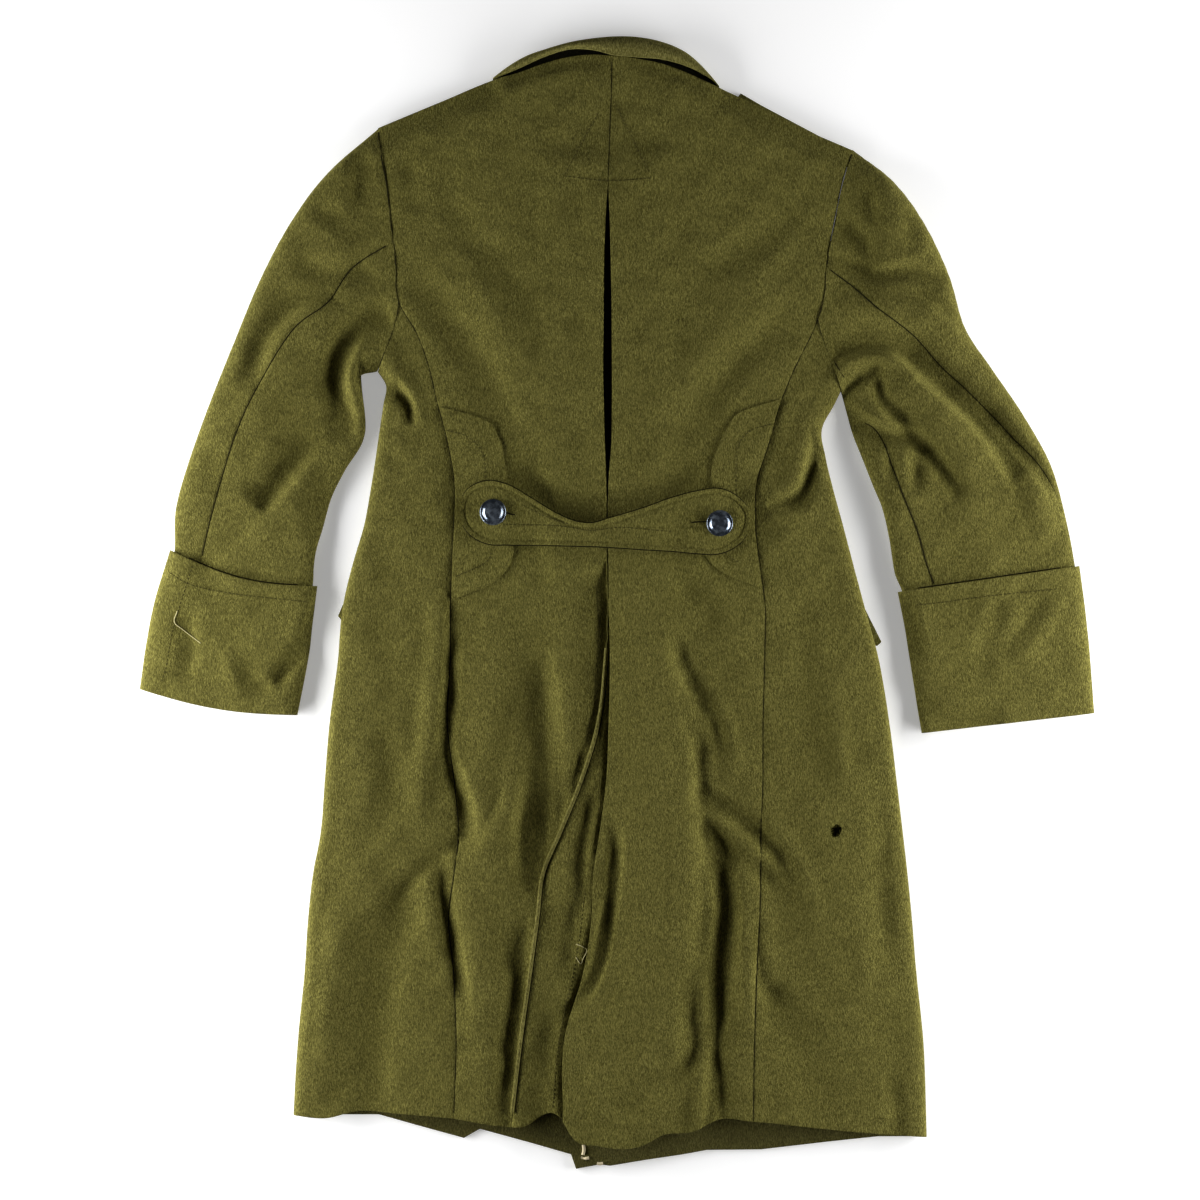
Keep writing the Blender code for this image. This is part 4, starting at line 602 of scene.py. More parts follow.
UPPER_BACK_FOLDS = (
    # Neck edge, falling away under the collar
    Fold(((-0.120, 0.522), (-0.085, 0.534), (-0.050, 0.544), (-0.005, 0.546)), -0.0050, 0.010, 0.016),
    Fold(((0.010, 0.545), (0.045, 0.538), (0.072, 0.528), (0.100, 0.514)), -0.0046, 0.010, 0.016),
    Fold(((-0.172, 0.450), (-0.166, 0.405), (-0.150, 0.370), (-0.129, 0.345), (-0.100, 0.295)),
         -0.0034, 0.022, 0.020),
    Fold(((-0.202, 0.330), (-0.176, 0.295), (-0.150, 0.255), (-0.128, 0.215), (-0.112, 0.160)),
         -0.0048, 0.026, 0.028),
    Fold(((-0.150, 0.330), (-0.126, 0.292), (-0.108, 0.250)), 0.0016, 0.016, 0.016),
    Fold(((-0.212, 0.450), (-0.207, 0.425), (-0.205, 0.390)), -0.0022, 0.014, 0.016),
    Fold(((0.170, 0.382), (0.130, 0.352), (0.085, 0.328)), -0.0030, 0.022, 0.022),
    Fold(((0.176, 0.284), (0.124, 0.250), (0.093, 0.208), (0.070, 0.155)), -0.0046, 0.028, 0.028),
    Fold(((0.156, 0.412), (0.172, 0.390), (0.188, 0.368), (0.210, 0.338)), -0.0026, 0.012, 0.011),
    Fold(((-0.065, 0.430), (-0.064, 0.345), (-0.066, 0.262)), -0.0010, 0.006, 0.005),
    Fold(((-0.110, 0.146), (-0.070, 0.112), (-0.035, 0.098), (-0.010, 0.098)), -0.0050, 0.018, 0.024),
    Fold(((0.085, 0.132), (0.045, 0.112), (0.015, 0.104), (-0.010, 0.102)), -0.0040, 0.018, 0.020),
    Fold(((-0.098, 0.205), (-0.085, 0.182), (-0.066, 0.160)), 0.0020, 0.014, 0.016),
    # Tucks below the arms
    Fold(((-0.232, 0.268), (-0.227, 0.240), (-0.213, 0.220), (-0.203, 0.203), (-0.197, 0.176)),
         0.0034, 0.012, 0.007),
    Fold(((-0.236, 0.226), (-0.220, 0.214), (-0.208, 0.199), (-0.203, 0.178)), -0.0062, 0.009, 0.012),
    Fold(((-0.222, 0.170), (-0.214, 0.150), (-0.200, 0.150)), 0.0020, 0.012, 0.012),
    Fold(((0.206, 0.172), (0.194, 0.140), (0.188, 0.114), (0.176, 0.103), (0.150, 0.098)),
         -0.0060, 0.012, 0.009),
    Fold(((0.196, 0.200), (0.186, 0.165), (0.179, 0.135), (0.170, 0.116), (0.150, 0.106)),
         0.0032, 0.010, 0.014),
    Fold(((0.200, 0.092), (0.172, 0.088), (0.150, 0.092)), 0.0020, 0.010, 0.010),
)
LEFT_SLEEVE_FOLDS = (
    Fold(((-0.245, 0.338), (-0.282, 0.318), (-0.308, 0.305), (-0.332, 0.290), (-0.348, 0.270),
          (-0.358, 0.246), (-0.366, 0.210)), -0.0057, 0.016, 0.020),
    Fold(((-0.250, 0.340), (-0.285, 0.332), (-0.322, 0.336)), -0.0035, 0.018, 0.018),
    Fold(((-0.224, 0.287), (-0.250, 0.279), (-0.266, 0.264), (-0.275, 0.244), (-0.278, 0.220),
          (-0.274, 0.196), (-0.266, 0.160)), -0.0115, 0.015, 0.024),
    Fold(((-0.234, 0.254), (-0.255, 0.250), (-0.265, 0.236), (-0.267, 0.219), (-0.261, 0.198),
          (-0.253, 0.172)), 0.0019, 0.008, 0.009),
    Fold(((-0.256, 0.240), (-0.257, 0.222), (-0.251, 0.200)), -0.0041, 0.007, 0.007),
    Fold(((-0.250, 0.188), (-0.290, 0.173), (-0.314, 0.150), (-0.336, 0.123), (-0.358, 0.095)),
         -0.0100, 0.018, 0.034),
    Fold(((-0.326, 0.128), (-0.361, 0.086), (-0.386, 0.060), (-0.418, 0.030)), -0.0030, 0.012, 0.018),
    Fold(((-0.262, 0.172), (-0.284, 0.138), (-0.294, 0.100), (-0.296, 0.060)), -0.0061, 0.024, 0.026),
    Fold(((-0.336, 0.160), (-0.351, 0.140), (-0.355, 0.118)), 0.0030, 0.014, 0.016),
    Fold(((-0.306, 0.405), (-0.286, 0.386), (-0.254, 0.364)), -0.0030, 0.018, 0.018),
    Fold(((-0.258, 0.455), (-0.258, 0.420), (-0.260, 0.380)), -0.0035, 0.012, 0.015),
    Fold(((-0.243, 0.468), (-0.239, 0.430), (-0.236, 0.390)), 0.0019, 0.008, 0.010),
    # Cuff
    Fold(((-0.290, 0.010), (-0.300, -0.020), (-0.312, -0.044), (-0.330, -0.066), (-0.342, -0.080)),
         -0.0095, 0.012, 0.014),
    Fold(((-0.428, -0.012), (-0.426, -0.045), (-0.432, -0.085)), -0.0027, 0.014, 0.016),
    Fold(((-0.372, -0.062), (-0.362, -0.080), (-0.345, -0.082)), -0.0024, 0.014, 0.014),
    Fold(((-0.390, -0.045), (-0.384, -0.070), (-0.378, -0.092)), 0.0019, 0.012, 0.012),
)
RIGHT_SLEEVE_FOLDS = (
    Fold(((0.210, 0.346), (0.236, 0.334), (0.260, 0.327), (0.288, 0.331), (0.312, 0.326),
          (0.344, 0.316)), -0.0068, 0.012, 0.012),
    Fold(((0.214, 0.392), (0.236, 0.364), (0.256, 0.334)), -0.0054, 0.018, 0.018),
    Fold(((0.215, 0.250), (0.255, 0.257), (0.281, 0.252), (0.305, 0.231), (0.333, 0.206),
          (0.361, 0.180), (0.383, 0.150), (0.405, 0.108)), -0.0098, 0.032, 0.013),
    Fold(((0.360, 0.200), (0.392, 0.166), (0.416, 0.138), (0.446, 0.094)), -0.0038, 0.012, 0.011),
    Fold(((0.208, 0.210), (0.226, 0.236), (0.250, 0.248), (0.276, 0.244), (0.300, 0.222)),
         0.0046, 0.010, 0.012),
    Fold(((0.290, 0.225), (0.320, 0.190), (0.345, 0.155), (0.365, 0.115)), 0.0051, 0.024, 0.026),
    Fold(((0.220, 0.200), (0.237, 0.219), (0.264, 0.238)), -0.0054, 0.009, 0.009),
    Fold(((0.260, 0.238), (0.262, 0.212), (0.272, 0.192), (0.290, 0.174), (0.308, 0.150)),
         -0.0062, 0.014, 0.012),
    Fold(((0.218, 0.200), (0.238, 0.180), (0.262, 0.168), (0.298, 0.160), (0.318, 0.140),
          (0.344, 0.106)), -0.0089, 0.015, 0.014),
    Fold(((0.238, 0.200), (0.262, 0.184), (0.288, 0.168)), 0.0030, 0.010, 0.010),
    Fold(((0.292, 0.318), (0.312, 0.304), (0.332, 0.287), (0.350, 0.266)), -0.0019, 0.007, 0.009),
    Fold(((0.250, 0.412), (0.254, 0.396), (0.256, 0.378)), -0.0027, 0.012, 0.012),
    Fold(((0.284, 0.394), (0.293, 0.372), (0.294, 0.350)), -0.0030, 0.012, 0.013),
    Fold(((0.272, 0.156), (0.274, 0.135), (0.274, 0.112)), -0.0032, 0.011, 0.011),
    Fold(((0.296, 0.156), (0.299, 0.132), (0.298, 0.108)), -0.0035, 0.012, 0.012),
    Fold(((0.400, 0.130), (0.418, 0.100), (0.430, 0.060)), 0.0035, 0.016, 0.018),
    # Cuff
    Fold(((0.360, 0.018), (0.366, 0.000), (0.362, -0.020)), 0.0019, 0.014, 0.014),
    Fold(((0.392, 0.008), (0.392, -0.015), (0.384, -0.036)), 0.0019, 0.014, 0.014),
    Fold(((0.440, 0.010), (0.424, -0.025), (0.396, -0.060)), 0.0024, 0.016, 0.016),
    Fold(((0.366, -0.030), (0.366, -0.055), (0.360, -0.078)), -0.0022, 0.016, 0.016),
    Fold(((0.296, -0.100), (0.330, -0.116), (0.385, -0.120)), -0.0046, 0.016, 0.016),
    Fold(((0.286, 0.008), (0.294, -0.022), (0.301, -0.060)), -0.0046, 0.012, 0.014),
)
FOLDS = (BROAD_FOLDS + LEFT_SKIRT_FOLDS + RIGHT_SKIRT_FOLDS + UPPER_BACK_FOLDS + LEFT_SLEEVE_FOLDS
         + RIGHT_SLEEVE_FOLDS)
UNDERLAP_FOLDS = (
    Fold(((-0.062, -0.380), (-0.076, -0.452), (-0.084, -0.600)), -0.0035, 0.022, 0.022),
    Fold(((-0.024, -0.190), (-0.030, -0.220), (-0.034, -0.250), (-0.030, -0.290)), -0.0038, 0.010, 0.012),
    Fold(((-0.040, -0.300), (-0.046, -0.330), (-0.050, -0.360)), -0.0016, 0.010, 0.010),
    Fold(((-0.0965, -0.486), (-0.077, -0.478), (-0.0645, -0.4905)), 0.0012, 0.005, 0.005),
)
FOLD_STEPS = 5

# Shallow ripples all over: waves across and down a metre of cloth, with their heights and starts
Ripple = namedtuple("Ripple", "across down height start")
RIPPLES = (
    Ripple(21.0, 9.0, 0.00034, 0.4),
    Ripple(-13.0, 17.0, 0.00036, 2.1),
    Ripple(31.0, -24.0, 0.00022, 4.0),
    Ripple(7.0, 35.0, 0.00024, 1.3),
)


# Curves

def smooth(rows, key, value):
    """A smooth curve through a table's rows: a function giving column `value` at any `key`."""
    pairs = sorted((getattr(row, key), getattr(row, value)) for row in rows)
    keys = np.array([pair[0] for pair in pairs])
    values = np.array([pair[1] for pair in pairs])
    slopes = np.gradient(values, keys)

    def curve(at):
        at = np.clip(np.asarray(at, dtype=float), keys[0], keys[-1])
        cell = np.clip(np.searchsorted(keys, at) - 1, 0, len(keys) - 2)
        width = keys[cell + 1] - keys[cell]
        t = (at - keys[cell]) / width
        start = (1 + 2 * t) * (1 - t) ** 2 * values[cell] + t * (1 - t) ** 2 * width * slopes[cell]
        end = t * t * (3 - 2 * t) * values[cell + 1] + t * t * (t - 1) * width * slopes[cell + 1]
        return start + end

    return curve


Station = namedtuple("Station", "share value")


def along(rows, column):
    """A smooth curve through a table's column, from 0 at its first row to 1 at its last."""
    last = len(rows) - 1
    stations = [Station(place / last, getattr(row, column)) for place, row in enumerate(rows)]
    return smooth(stations, "share", "value")


def mix(first, second, share):
    """The value a share of the way from first to second."""
    return first + (second - first) * share


def ease(share):
    """0 below 0, 1 above 1, and a soft step between."""
    share = np.clip(share, 0.0, 1.0)
    return share * share * (3 - 2 * share)


def plateau(at, low, high, fade):
    """1 between low and high, falling softly to 0 over fade outside them."""
    return ease((at - low + fade) / fade) * ease((high + fade - at) / fade)


outer_left = smooth(BACK_EDGES, "y", "outer_left")
outer_right = smooth(BACK_EDGES, "y", "outer_right")
centre_left = smooth(BACK_EDGES, "y", "centre_left")
centre_right = smooth(BACK_EDGES, "y", "centre_right")
side_left = smooth(SIDE_EDGES, "y", "left")
side_right = smooth(SIDE_EDGES, "y", "right")
top_edge = smooth(TOP_EDGE, "x", "y")
upper_hem = smooth(UPPER_HEM, "x", "y")
collar_outline = smooth(COLLAR, "x", "outline")
collar_gap = smooth(COLLAR, "x", "gap")
belt_low = smooth(BELT, "x", "low")
belt_high = smooth(BELT, "x", "high")


# Height of the upper cloth

def fold_line(path):
    """Points on a smooth curve through the stations of a fold's path."""
    stations = [EdgeRow(*station) for station in path]
    shares = np.linspace(0.0, 1.0, FOLD_STEPS * (len(stations) - 1) + 1)
    return np.stack([along(stations, "x")(shares), along(stations, "y")(shares)], axis=1)


def fold_height(fold, line, x, y):
    """Height that one fold adds at each place: a soft ridge or trough along its line."""
    nearest = np.full(x.shape, np.inf)
    height = np.zeros(x.shape)
    steps = len(line) - 1
    for step, (first, last) in enumerate(zip(line, line[1:])):
        run = last - first
        share = ((x - first[0]) * run[0] + (y - first[1]) * run[1]) / (run @ run)
        share = np.clip(share, 0.0, 1.0)
        gap_x = x - first[0] - share * run[0]
        gap_y = y - first[1] - share * run[1]
        distance = np.hypot(gap_x, gap_y)
        left_of_run = run[0] * gap_y - run[1] * gap_x > 0
        width = np.where(left_of_run, fold.left, fold.right)
        across = np.clip(distance / width, 0.0, 1.0)
        place = (step + share) / steps
        strength = np.sqrt(np.clip(4 * place * (1 - place), 0.0, 1.0))
        closer = distance < nearest
        height = np.where(closer, fold.height * strength * (1 - across ** 2) ** 2, height)
        nearest = np.minimum(nearest, distance)
    return height


def folds_height(folds, x, y):
    """Height that a table of folds adds, each one worked out only near its own line."""
    total = np.zeros(x.shape)
    for fold in folds:
        line = fold_line(fold.path)
        reach = max(fold.left, fold.right)
        low = line.min(axis=0) - reach
        high = line.max(axis=0) + reach
        near = (x > low[0]) & (x < high[0]) & (y > low[1]) & (y < high[1])
        total[near] += fold_height(fold, line, x[near], y[near])
    return total


def ripple_height(x, y):
    """Height of the shallow ripples at each place."""
    turns = ((row, math.tau * (row.across * x + row.down * y) + row.start) for row in RIPPLES)
    return sum(row.height * np.sin(turn) for row, turn in turns)


def sleeve_loft(x, y):
    """Extra height of the sleeves above the cuffs, where they lie fuller than the body."""
    beyond_armhole = ease((np.abs(x) - SLEEVE_LOFT_START) / SLEEVE_LOFT_FADE)
    return SLEEVE_LOFT * beyond_armhole * ease((y - SLEEVE_LOFT_LOW) / SLEEVE_LOFT_RISE)


def soft_highest(first, second):
    """The higher of two heights, with a soft bend where they meet."""
    return 0.5 * (first + second + np.sqrt((first - second) ** 2 + SOFT_CONTACT ** 2))


def centre_rise(x, y):
    """Lift of the backs over the pleat insert, the slit's lips and the vent underlap."""
    middle = 0.5 * (centre_left(y) + centre_right(y))
    over_insert = plateau(y, INSERT_END - RISE_FADE, INSERT_TOP + RISE_FADE, RISE_FADE)
    over_insert = over_insert * plateau(x - middle, -PLEAT_HALF_WIDTH, PLEAT_HALF_WIDTH, RISE_FADE)
    lips = plateau(y, SLIT_END + RISE_FADE, SLIT_TOP - RISE_FADE, 2 * RISE_FADE)
    lips = lips * ease(1 - np.abs(x - middle) / SLIT_LIP_HALF_WIDTH)
    right_of_vent = x - centre_right(y)
    over_underlap = ease((UNDERLAP_TOP + RISE_FADE - y) / RISE_FADE)
    over_underlap = over_underlap * plateau(
        right_of_vent, -VENT_EDGE_MARGIN, VENT_LAP + VENT_LAP_MARGIN, RISE_FADE)
    on_the_right = x > middle
    return PLEAT_RISE * np.maximum(over_insert, over_underlap * on_the_right) + SLIT_LIP_RISE * lips


def vent_fall(x, y):
    """How far the left back falls away towards the vent below the belt."""
    share = np.clip(1 - (centre_left(y) - x) / VENT_FALL_REACH, 0.0, 1.0) * (x <= centre_left(y))
    return VENT_FALL * share ** 2 * plateau(y, VENT_FALL_END, VENT_FALL_START, RISE_FADE)


def lowest_top(x, y):
    """Lowest that the upper cloth's top may lie, on the layers under it."""
    over_lap = plateau(x, RIGHT_FRONT_EDGE, LAP_RAMP_END, LAP_FADE)
    return SHOULDER_TOP + LAYER * over_lap + centre_rise(x, y)


def cloth_height(x, y):
    """Top of the upper cloth of back, sides and sleeves at each place."""
    x, y = np.broadcast_arrays(np.asarray(x, dtype=float), np.asarray(y, dtype=float))
    below_shoulder = ease((top_edge(x) - y) / SHOULDER_SLOPE)
    on_neck = plateau(x, NECK_LEFT, NECK_RIGHT, NECK_FADE)
    off_shoulder = np.maximum(below_shoulder, on_neck)
    level = mix(SHOULDER_TOP, FLAT_TOP + LOFT, off_shoulder)
    creases = folds_height(FOLDS, x, y) + ripple_height(x, y)
    rise = sleeve_loft(x, y) + creases * off_shoulder - vent_fall(x, y)
    return soft_highest(level + rise + centre_rise(x, y), lowest_top(x, y))


# Panels as pairs of points: an outer one and an inner one behind it

def stack(x, y, z):
    """Points from their three coordinates."""
    return np.stack(np.broadcast_arrays(x, y, z), axis=-1)


def lying(x, y, top, thickness=CLOTH):
    """Outer and inner points of cloth that lies with its outside upwards."""
    return stack(x, y, top), stack(x, y, top - thickness)


def crowd(share):
    """Moves grid lines towards both edges of a panel, where its seams are."""
    return share - EDGE_CROWDING * np.sin(math.tau * share) / math.tau


def seam_dip(distance):
    """How far cloth is drawn down beside a seam."""
    return SEAM_DIP * np.exp(-np.maximum(distance, 0.0) / SEAM_DIP_REACH)


def row_height(v, top, seam_start):
    """Height of a back panel's row: armhole rows above the side-back seam's start, seam rows below."""
    armhole_share = ARMHOLE_ROWS / BACK_ROWS
    above = mix(top, seam_start, v / armhole_share)
    below = mix(seam_start, HEM_LINE, (v - armhole_share) / (1 - armhole_share))
    return np.where(v < armhole_share, above, below)


def to_hem(x, y, row_y):
    """Moves the rows near the hem down or up to the hem's own line."""
    share = ease(1 - (row_y - HEM_LINE) / HEM_FADE)
    return y + (upper_hem(x) - HEM_LINE) * share


def back_points(u, v, outer, inner, outer_top, seam_start):
    """A back panel: u across from the outer edge to the centre, v from shoulder and neck to hem."""
    u = crowd(u)
    y_outer = row_height(v, outer_top, seam_start)
    y_inner = row_height(v, CENTRE_NECK, seam_start + CENTRE_ROW_RISE)
    x = mix(outer(y_outer), inner(y_inner), u)
    width = np.abs(inner(y_inner) - outer(y_outer))
    y = mix(y_outer, y_inner, u)
    top_share = ease(1 - v * BACK_ROWS / ARMHOLE_ROWS)
    y = y + (top_edge(x) - mix(outer_top, CENTRE_NECK, u)) * top_share
    y = to_hem(x, y, y_outer)
    dip = seam_dip(u * width) + seam_dip((1 - u) * width) * ease((y - SLIT_TOP) / RISE_FADE)
    return lying(x, y, cloth_height(x, y) - dip)


def back_left_points(u, v):
    return back_points(u, v, outer_left, centre_left, LEFT_SHOULDER, LEFT_SEAM_START)


def back_right_points(u, v):
    return back_points(u, v, outer_right, centre_right, RIGHT_SHOULDER, RIGHT_SEAM_START)


def insert_points(u, v):
    """Insert of the box pleat: a flat strip under the backs, seen through the slit."""
    y = mix(INSERT_TOP, INSERT_END, v)
    middle = 0.5 * (centre_left(y) + centre_right(y))
    x = middle + mix(-INSERT_HALF_WIDTH, INSERT_HALF_WIDTH, u)
    return lying(x, y, np.full(x.shape, FLAT_TOP))


def underlap_top(x, y):
    """Top of the vent underlap: level with the left back beside it and just below the right back."""
    beside = cloth_height(x, y) - centre_rise(x, y) - LAYER_EASE
    dip = UNDERLAP_DIP * ease(1 - (centre_right(y) - x) / UNDERLAP_DIP_REACH)
    return beside - dip + folds_height(UNDERLAP_FOLDS, x, y)


def underlap_points(u, v):
    """Vent underlap: sewn to the left back's edge and lying under the right back."""
    row_y = mix(UNDERLAP_TOP, HEM_LINE, v)
    hidden_edge = centre_right(row_y) + VENT_LAP - VENT_EDGE_MARGIN
    x = mix(centre_left(row_y) + CURVED_SEAM_GAP, hidden_edge, u)
    y = to_hem(np.minimum(x, UNDERLAP_HEM_CORNER), row_y, row_y)
    return lying(x, y, underlap_top(x, y))


def roll(reach, top, floor, width, angle):
    """Outer and inner (reach, height) of a rolled edge at an angle from +90 (top) to -90 (floor)."""
    middle = 0.5 * (top + floor)
    half = 0.5 * (top - floor)
    across = np.cos(angle)
    up = np.sin(angle)
    outer = (reach - width + width * across, middle + half * up)
    inner_width = np.maximum(width - CLOTH, ROLL_INSIDE)
    inner = (reach - width + inner_width * across, middle + (half - CLOTH) * up)
    return outer, inner


def along_roll(on_run, under):
    """Chooses between values of a panel's flat run, its rolled edge and the part turned under."""
    return lambda run, rolled, turned: np.where(on_run, run, np.where(under, turned, rolled))


def flap_lift(y, middle):
    """How far the pocket flap below it lifts a front's side off the floor."""
    return FLAP_LIFT * ease(FLAP_LIFT_RATE * (1 - np.abs(y - middle) / FLAP_LIFT_REACH))


def side_points(u, v, seam, side, seam_top, side_top, facing, flap_middle):
    """Side of a front: from the side-back seam over the rolled side to a strip of the underside."""
    column = np.rint(u * SIDE_CELLS)
    on_top = crowd(np.clip(column / SIDE_COLUMNS, 0.0, 1.0))
    y_seam = mix(seam_top, HEM_LINE, v)
    y_side = mix(side_top, HEM_LINE, v)
    edge = facing * side(y_side)
    start = facing * seam(y_seam)
    width = np.minimum(SIDE_ROLL, ROLL_LIMIT * (edge - start))
    reach = mix(start, edge - width, on_top)
    angle = np.pi / 2 - np.pi * np.clip((column - SIDE_COLUMNS) / ROLL_CELLS, 0.0, 1.0)
    past = column - SIDE_COLUMNS - ROLL_CELLS
    widest = np.where(column > SIDE_COLUMNS + ROLL_CELLS / 2, edge, reach + width * np.cos(angle))
    across = (widest - start) / (edge - start)
    scooped = mix(across, across ** (1 / ARMHOLE_CURVE), ease(1 - v / UNDERARM_SHARE))
    y = to_hem(facing * widest, mix(y_seam, y_side, scooped), y_seam)
    top = cloth_height(facing * reach, y) - seam_dip(reach - start)
    floor = flap_lift(y, flap_middle)
    outer, inner = roll(edge, top, floor, width, angle)
    at_end = past >= UNDER_CELLS
    strip = np.where(at_end, UNDER_STRIP + UNDER_STRIP_FADE, UNDER_STRIP)
    floor = np.where(at_end, 0.0, floor)
    under = edge - width - strip
    choose = along_roll(column < SIDE_COLUMNS, past > 0)
    outer_z = choose(top, outer[1], floor)
    inner_z = choose(top - CLOTH, inner[1], floor + CLOTH)
    outer_x = facing * choose(reach, outer[0], under)
    inner_x = facing * choose(reach, inner[0], under)
    return stack(outer_x, y, outer_z), stack(inner_x, y, inner_z)


def left_side_points(u, v):
    return side_points(u, v, outer_left, side_left, LEFT_SEAM_START, LEFT_UNDERARM, -1,
                       FLAP_MIDDLE_LEFT)


def right_side_points(u, v):
    return side_points(u, v, outer_right, side_right, RIGHT_SEAM_START, RIGHT_UNDERARM, 1,
                       FLAP_MIDDLE_RIGHT)


def ring(outer, inner, share, top, floor, thickness):
    """Outer and inner points on a flattened tube, `share` of the way round from its outer fold."""
    share = np.mod(share, 2.0)
    width = np.hypot(inner[0] - outer[0], inner[1] - outer[1])
    rolled = np.minimum(TUBE_ROLL, TUBE_ROLL_LIMIT * width) / width
    at_outer = (share < ROLL_SHARE) | (share > 2 - ROLL_SHARE)
    at_inner = np.abs(share - 1) < ROLL_SHARE
    on_top = (share >= ROLL_SHARE) & (share <= 1 - ROLL_SHARE)
    run = (np.where(share > 1, 2 - share, share) - ROLL_SHARE) / (1 - 2 * ROLL_SHARE)
    flat = mix(rolled, 1 - rolled, np.clip(run, 0.0, 1.0))
    around_outer = np.where(share > 1, share - 2, share) / ROLL_SHARE * np.pi / 2
    around_inner = (share - 1) / ROLL_SHARE * np.pi / 2
    middle = 0.5 * (top + floor)
    half = 0.5 * (top - floor)
    sheets = []
    for depth in (0.0, thickness):
        reach = rolled - depth / width
        s = np.where(at_outer, rolled - reach * np.cos(around_outer), flat)
        s = np.where(at_inner, 1 - rolled + reach * np.cos(around_inner), s)
        z = np.where(on_top, top - depth, floor + depth)
        z = np.where(at_outer, middle + (half - depth) * np.sin(around_outer), z)
        z = np.where(at_inner, middle - (half - depth) * np.sin(around_inner), z)
        sheets.append((s, z))
    return sheets


def armhole(share, rows, outer_edge, facing, scoop_from):
    """Place on an armhole, from the shoulder (0) to the underarm (1)."""
    top = rows[0]
    y = mix(top.outer_y, top.inner_y, share)
    on_front = np.clip((scoop_from - y) / (scoop_from - top.inner_y), 0.0, 1.0)
    front_start = outer_edge(scoop_from)
    x = np.where(y >= scoop_from, outer_edge(y), mix(front_start, top.inner_x, on_front ** ARMHOLE_CURVE))
    return x - facing * SEAM_CLOSE, y


def sleeve_points(share, v, rows, outer_edge, facing, scoop_from):
    """A sleeve's tube at a share of the way round, v from armhole to the end inside the cuff."""
    outer = (along(rows, "outer_x")(v), along(rows, "outer_y")(v))
    inner = (along(rows, "inner_x")(v), along(rows, "inner_y")(v))
    floor = CUFF_LIFT * ease((v - CUFF_LIFT_START) / (CUFF_LIFT_END - CUFF_LIFT_START))
    blend = ease(1 - v / ARMHOLE_BLEND)
    start = rows[0]

    def place(s):
        arm_x, arm_y = armhole(np.clip(s, 0.0, 1.0), rows, outer_edge, facing, scoop_from)
        x = mix(outer[0], inner[0], s) + (arm_x - mix(start.outer_x, start.inner_x, s)) * blend
        y = mix(outer[1], inner[1], s) + (arm_y - mix(start.outer_y, start.inner_y, s)) * blend
        return x, y

    s = ring(outer, inner, share, FLAT_TOP, floor, CLOTH)[0][0]
    top = sleeve_top(*place(s), floor)
    return [stack(*place(s), z) for s, z in ring(outer, inner, share, top, floor, CLOTH)]


def sleeve_top(x, y, floor):
    """Top of a sleeve, never so low that its two sides meet."""
    return np.maximum(cloth_height(x, y), floor + 2 * CLOTH + SLEEVE_INSIDE)


def left_sleeve(share, v):
    return sleeve_points(share, v, LEFT_SLEEVE, outer_left, -1, LEFT_SEAM_START)


def right_sleeve(share, v):
    return sleeve_points(share, v, RIGHT_SLEEVE, outer_right, 1, RIGHT_SEAM_START)


def drawn_seams(sleeve, u, v, first, last):
    """Half of a sleeve between two seams, its upper side drawn down beside them."""
    u = crowd(u)
    share = mix(first, last, u)
    breadth = (last - first) * SLEEVE_BREADTH
    dip = seam_dip(u * breadth) + seam_dip((1 - u) * breadth)
    on_top = plateau(np.mod(share, 2.0), ROLL_SHARE, 1 - ROLL_SHARE, ROLL_SHARE)
    return [points - stack(0.0, 0.0, dip * on_top) for points in sleeve(share, v)]


def top_sleeve(sleeve, rows):
    """The half that wraps the outer fold, from the front seam round to the back seam."""
    back_seam = along(rows, "back_seam")
    front_seam = along(rows, "front_seam")
    return lambda u, v: drawn_seams(sleeve, u, v, front_seam(v) - 2, back_seam(v))


def under_sleeve(sleeve, rows):
    """The half that wraps the inner fold, from the back seam round to the front seam."""
    back_seam = along(rows, "back_seam")
    front_seam = along(rows, "front_seam")
    return lambda u, v: drawn_seams(sleeve, u, v, back_seam(v), front_seam(v))


def cuff(rows):
    """A cuff's tube, lying round the end of its sleeve and flat at its open end."""
    def points(share, v):
        outer = (along(rows, "outer_x")(v), along(rows, "outer_y")(v))
        inner = (along(rows, "inner_x")(v), along(rows, "inner_y")(v))
        sag = along(rows, "sag")(v)

        def place(s):
            x = mix(outer[0], inner[0], s)
            y = mix(outer[1], inner[1], s) - sag * np.sin(np.pi * np.clip(s, 0.0, 1.0))
            return x, y

        s = ring(outer, inner, share, FLAT_TOP, 0.0, CLOTH)[0][0]
        round_sleeve = sleeve_top(*place(s), CUFF_LIFT) + CLOTH + CUFF_CLEARANCE
        mouth = ease((v - CUFF_COVER_END) / (CUFF_MOUTH_START - CUFF_COVER_END))
        top = mix(round_sleeve, cloth_height(*place(s)), mouth)
        return [stack(*place(s), z) for s, z in ring(outer, inner, share, top, 0.0, CLOTH)]

    return points


